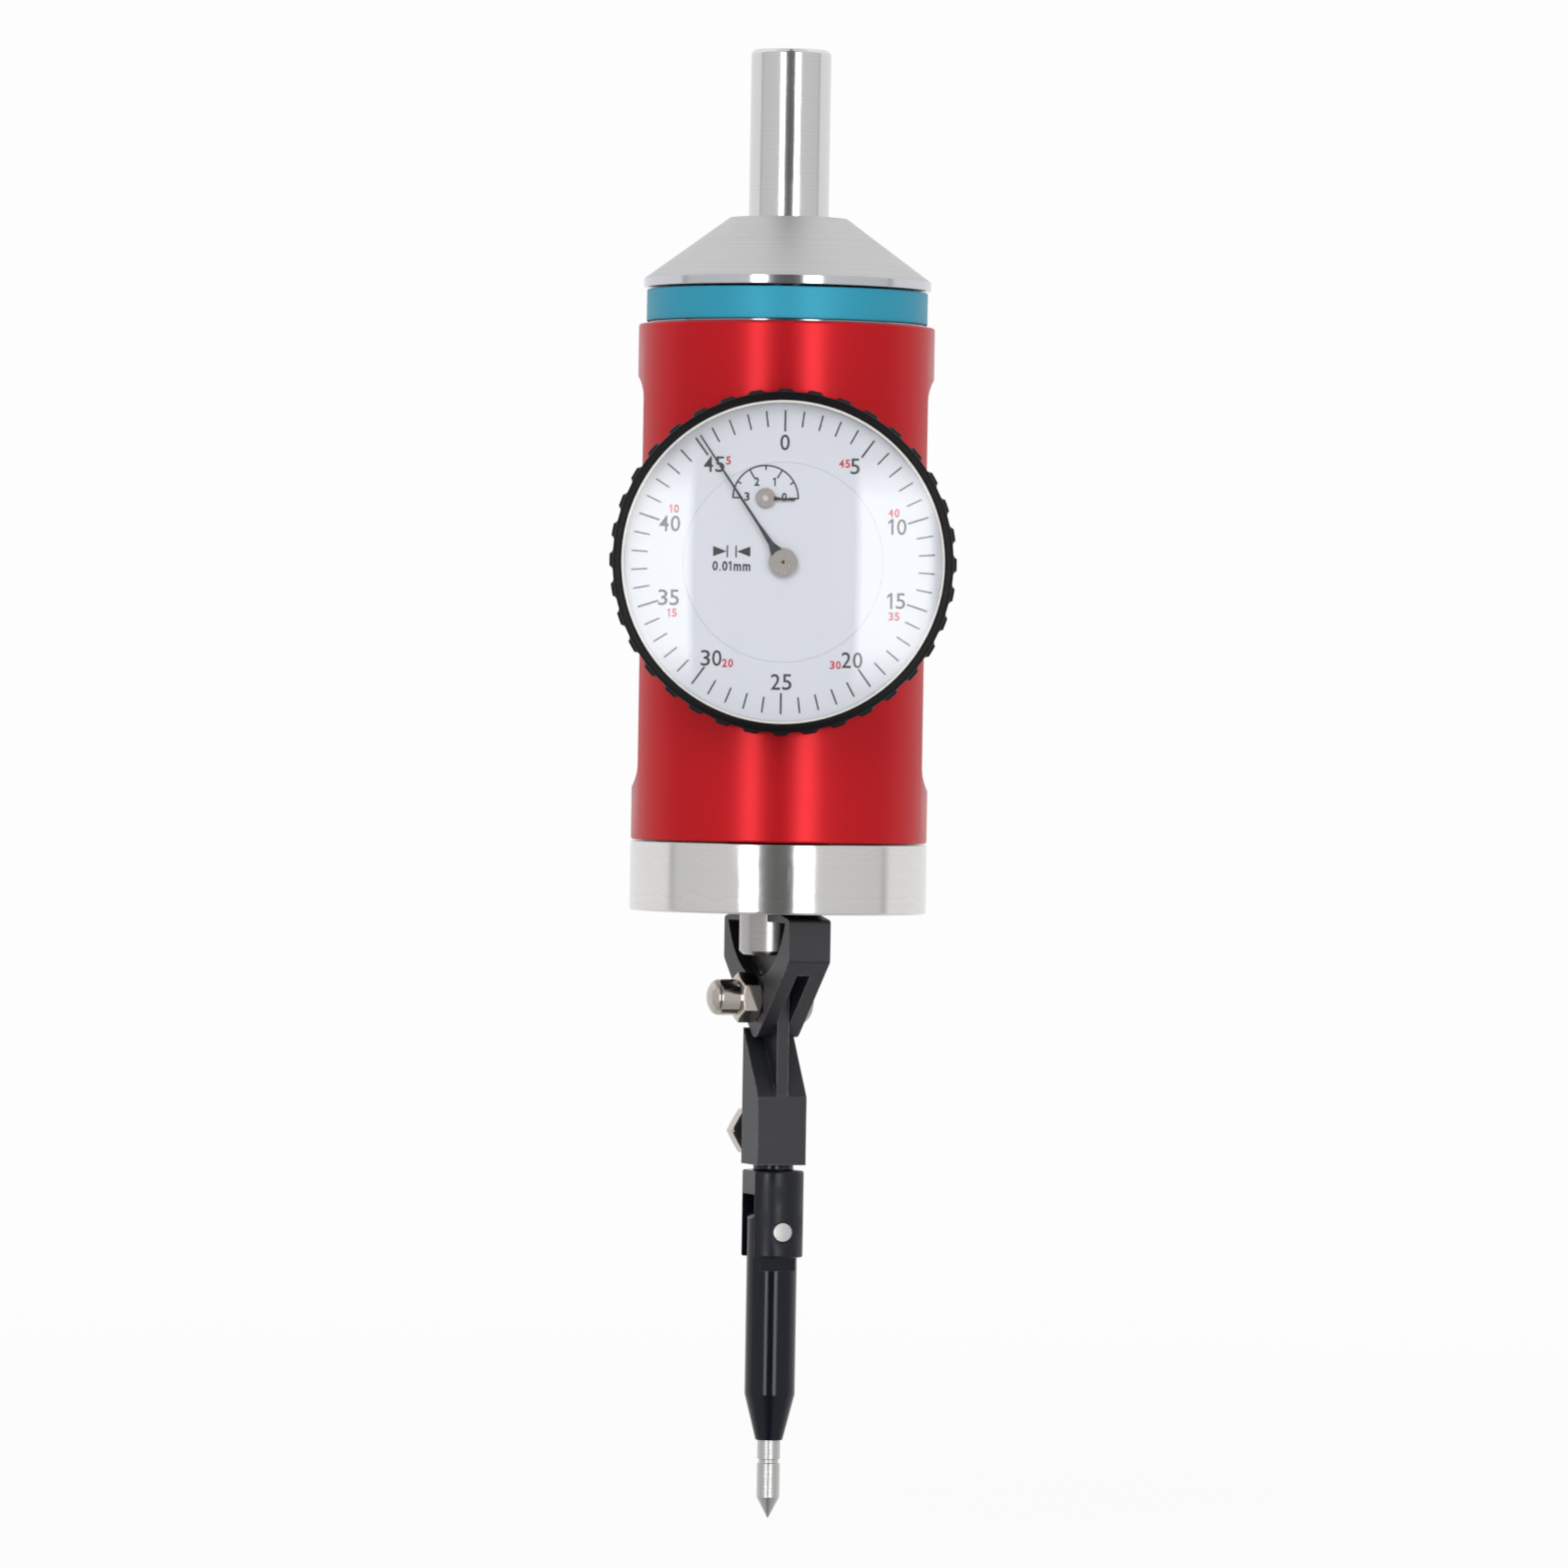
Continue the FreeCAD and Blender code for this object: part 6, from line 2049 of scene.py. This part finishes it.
@dataclass
class Studio:
    """The camera, the pale floor and the light.

    Args:
        distance: From the camera to the spindle's axis.
        frame_height: Height of the photograph's frame at the axis.
        camera_level: The camera's height.
        aim_level: Height of the frame's middle.
        aim_right: The frame's middle, right of the axis.
        roll: The indicator's lean in the photograph, in degrees.
        floor_level: Height of the floor.
        floor_half: Half of the floor's width.
        sensor: Width of the camera's sensor.
        white: The background's white.
        strips: Left and right edge of each light strip, in degrees right of the camera.
        strip_low: Elevation of the strips' lower ends.
        strip_high: Elevation of their upper ends.
        strip_power: The strips' brightness.
    """

    distance: float = 1.556
    frame_height: float = 0.24908
    camera_level: float = -0.0789
    aim_level: float = -0.08977
    aim_right: float = 0.00071
    roll: float = 0.94
    floor_level: float = -0.2125
    floor_half: float = 20.0
    sensor: float = 36.0
    white: Colour = (0.985, 0.985, 0.985)
    strips: tuple[tuple[float, float], ...] = ((-28.6, -16.6), (13.5, 26.8))
    strip_low: float = -18.0
    strip_high: float = 16.0
    strip_power: float = 4.5

    def build(self) -> None:
        """Set up the camera, floor, world and lamps."""
        self.camera()
        self.floor()
        self.world()
        self.lamps()

    def camera(self) -> None:
        """Place the camera as the photograph's was."""
        data = bpy.data.cameras.new("camera")
        data.sensor_width = self.sensor
        data.lens = self.sensor * self.distance / self.frame_height
        data.clip_start = 0.05
        data.clip_end = 50.0
        made = linked("camera", data)
        eye = Vector((self.aim_right, -self.distance, self.camera_level))
        aim = Vector((self.aim_right, 0.0, self.aim_level))
        look = (aim - eye).to_track_quat("-Z", "Y").to_matrix().to_4x4()
        turn = Matrix.Rotation(math.radians(self.roll), 4, "Z")
        made.matrix_world = Matrix.Translation(eye) @ look @ turn
        bpy.context.scene.camera = made

    def floor(self) -> None:
        """Lay a plain pale floor below the point."""
        mesh = bmesh.new()
        half = self.floor_half
        corners = [(-half, -half), (half, -half), (half, half), (-half, half)]
        mesh.faces.new([mesh.verts.new((x, y, self.floor_level)) for x, y in corners])
        data = bpy.data.meshes.new("floor")
        mesh.to_mesh(data)
        mesh.free()
        made = linked("floor", data)
        data.materials.append(self.floor_material())
        made.visible_glossy = False

    def floor_material(self) -> bpy.types.Material:
        """Make the floor's pale material, which is plain white to the camera.

        Returns:
            The material.
        """
        material, nodes, shader = blank_material("pale_floor")
        shader.inputs["Base Color"].default_value = (0.8, 0.8, 0.8, 1.0)
        shader.inputs["Roughness"].default_value = 0.9
        white = nodes.node("Emission")
        white.inputs["Strength"].default_value = 1.0
        white.inputs["Color"].default_value = rgba(self.white)
        away = nodes.node("VectorMath", operation="LENGTH")
        nodes.feed(away.inputs[0], nodes.node("TexCoord").outputs["Object"])
        share = nodes.span(away.outputs["Value"], 0.25, 0.8, 0.9, 1.0)
        blend = nodes.node("MixShader")
        nodes.feed(blend.inputs[0], nodes.math("MULTIPLY", self.seen(nodes), share))
        nodes.feed(blend.inputs[1], shader.outputs[0])
        nodes.feed(blend.inputs[2], white.outputs[0])
        output = material.node_tree.nodes["Material Output"]
        nodes.feed(output.inputs["Surface"], blend.outputs[0])
        return material

    def world(self) -> None:
        """Light the indicator from a pale studio with two tall strips beside the camera."""
        world = bpy.data.worlds.new("studio")
        world.use_nodes = True
        bpy.context.scene.world = world
        nodes = NodeTree(world.node_tree)
        background = world.node_tree.nodes["Background"]
        parts = nodes.node("SeparateXYZ")
        nodes.feed(parts.inputs[0], nodes.node("TexCoord").outputs["Generated"])
        turn = nodes.math("DEGREES", nodes.math(
            "ARCTAN2", parts.outputs[0], nodes.math("MULTIPLY", parts.outputs[1], -1.0)))
        rise = nodes.math("DEGREES", nodes.math("ARCSINE", parts.outputs[2]))
        ramp = nodes.node("ValToRGB")
        nodes.feed(ramp.inputs[0], nodes.span(turn, -180.0, 180.0, 0.0, 1.0))
        self.paint(ramp.color_ramp)
        walls = nodes.node("RGBToBW")
        nodes.feed(walls.inputs[0], ramp.outputs[0])
        below = nodes.span(rise, -50.0, -12.0, 0.75, 1.0)
        above = nodes.span(rise, 0.0, 60.0, 0.95, 1.15)
        room = nodes.math("MULTIPLY", walls.outputs[0], nodes.math("MULTIPLY", below, above))
        tall = self.window(nodes, rise, self.strip_low, self.strip_high, 4.0)
        for left, right in self.strips:
            strip = nodes.math("MULTIPLY", self.window(nodes, turn, left, right, 0.8), tall)
            room = nodes.math("ADD", room, nodes.math("MULTIPLY", strip, self.strip_power))
        grey = nodes.node("CombineXYZ")
        for socket in grey.inputs:
            nodes.feed(socket, room)
        nodes.feed(background.inputs["Color"],
                   nodes.mix(self.seen(nodes), grey.outputs[0], rgba(self.white)))
        background.inputs["Strength"].default_value = 1.0

    @staticmethod
    def seen(nodes: NodeTree) -> bpy.types.NodeSocket:
        """Return a mask that is 1 for what the camera sees, also through the glass.

        Args:
            nodes: The nodes that the mask is added to.

        Returns:
            The mask's socket.
        """
        path = nodes.node("LightPath")
        return nodes.math("MAXIMUM", path.outputs["Is Camera Ray"],
                          path.outputs["Is Transmission Ray"])

    @staticmethod
    def window(nodes: NodeTree, value: bpy.types.NodeSocket, low: float, high: float,
               soft: float) -> bpy.types.NodeSocket:
        """Return a mask that is 1 between two angles, with soft edges.

        Args:
            nodes: The world's nodes.
            value: The angle, in degrees.
            low: Where the mask starts.
            high: Where it ends.
            soft: Half the width of each soft edge.

        Returns:
            The mask's socket.
        """
        opening = nodes.span(value, low - soft, low + soft, 0.0, 1.0)
        closing = nodes.span(value, high - soft, high + soft, 1.0, 0.0)
        return nodes.math("MULTIPLY", opening, closing)

    @staticmethod
    def paint(ramp: bpy.types.ColorRamp) -> None:
        """Paint the room's brightness by direction, in degrees right of the camera.

        Args:
            ramp: The colour ramp, which runs from -180 to 180 degrees.
        """
        stops = [(-180, 0.95), (-96, 0.9), (-91, 0.5), (-86, 0.7), (-32, 0.75), (-28, 0.35),
                 (-13, 0.33), (-9, 0.2), (-3, 0.15), (7, 0.16), (15, 0.34), (29, 0.75),
                 (86, 0.7), (91, 0.5), (96, 0.9), (180, 0.95)]
        while len(ramp.elements) < len(stops):
            ramp.elements.new(0.5)
        for element in ramp.elements:
            element.position = 0.0
        for index, (degrees, value) in enumerate(stops):
            ramp.elements[index].color = (value, value, value, 1.0)
        for index, (degrees, value) in enumerate(stops):
            ramp.elements[index].position = (degrees + 180.0) / 360.0

    def lamps(self) -> None:
        """Add the two soft lamps."""
        self.lamp("key", 11.0, 0.9, (-0.45, -1.3, 0.8))
        self.lamp("fill", 5.2, 0.8, (0.8, -1.3, 0.2))

    def lamp(self, name: str, power: float, size: float, place: tuple[float, float, float]) -> None:
        """Add one soft area lamp that looks at the dial.

        Args:
            name: The lamp's name.
            power: Its power in watts.
            size: Its width in metres.
            place: Where it stands.
        """
        data = bpy.data.lights.new(name, "AREA")
        data.energy = power
        data.size = size
        made = linked(name, data)
        made.visible_glossy = False
        made.visible_transmission = False
        aim = Vector((0, 0, DIAL_LEVEL)) - Vector(place)
        look = aim.to_track_quat("-Z", "Y").to_matrix().to_4x4()
        made.matrix_world = Matrix.Translation(place) @ look


def main() -> None:
    """Build the indicator's looks around its frame."""
    logging.basicConfig(level=logging.INFO, format="%(name)s: %(message)s")
    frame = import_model()
    scene = bpy.context.scene
    scene.view_settings.view_transform = "Standard"
    Studio().build()
    shop = Workshop(Finishes())
    HiddenWorks().build(shop, frame["nodes"])
    for assembly in (Spindle(), Housing(), Dial(), Bezel(), Pointers(), Yoke(), Lever(), Feeler()):
        assembly.build(shop)
    LOG.info("made %d pieces", len(shop.names))


if __name__ == "__main__":
    main()
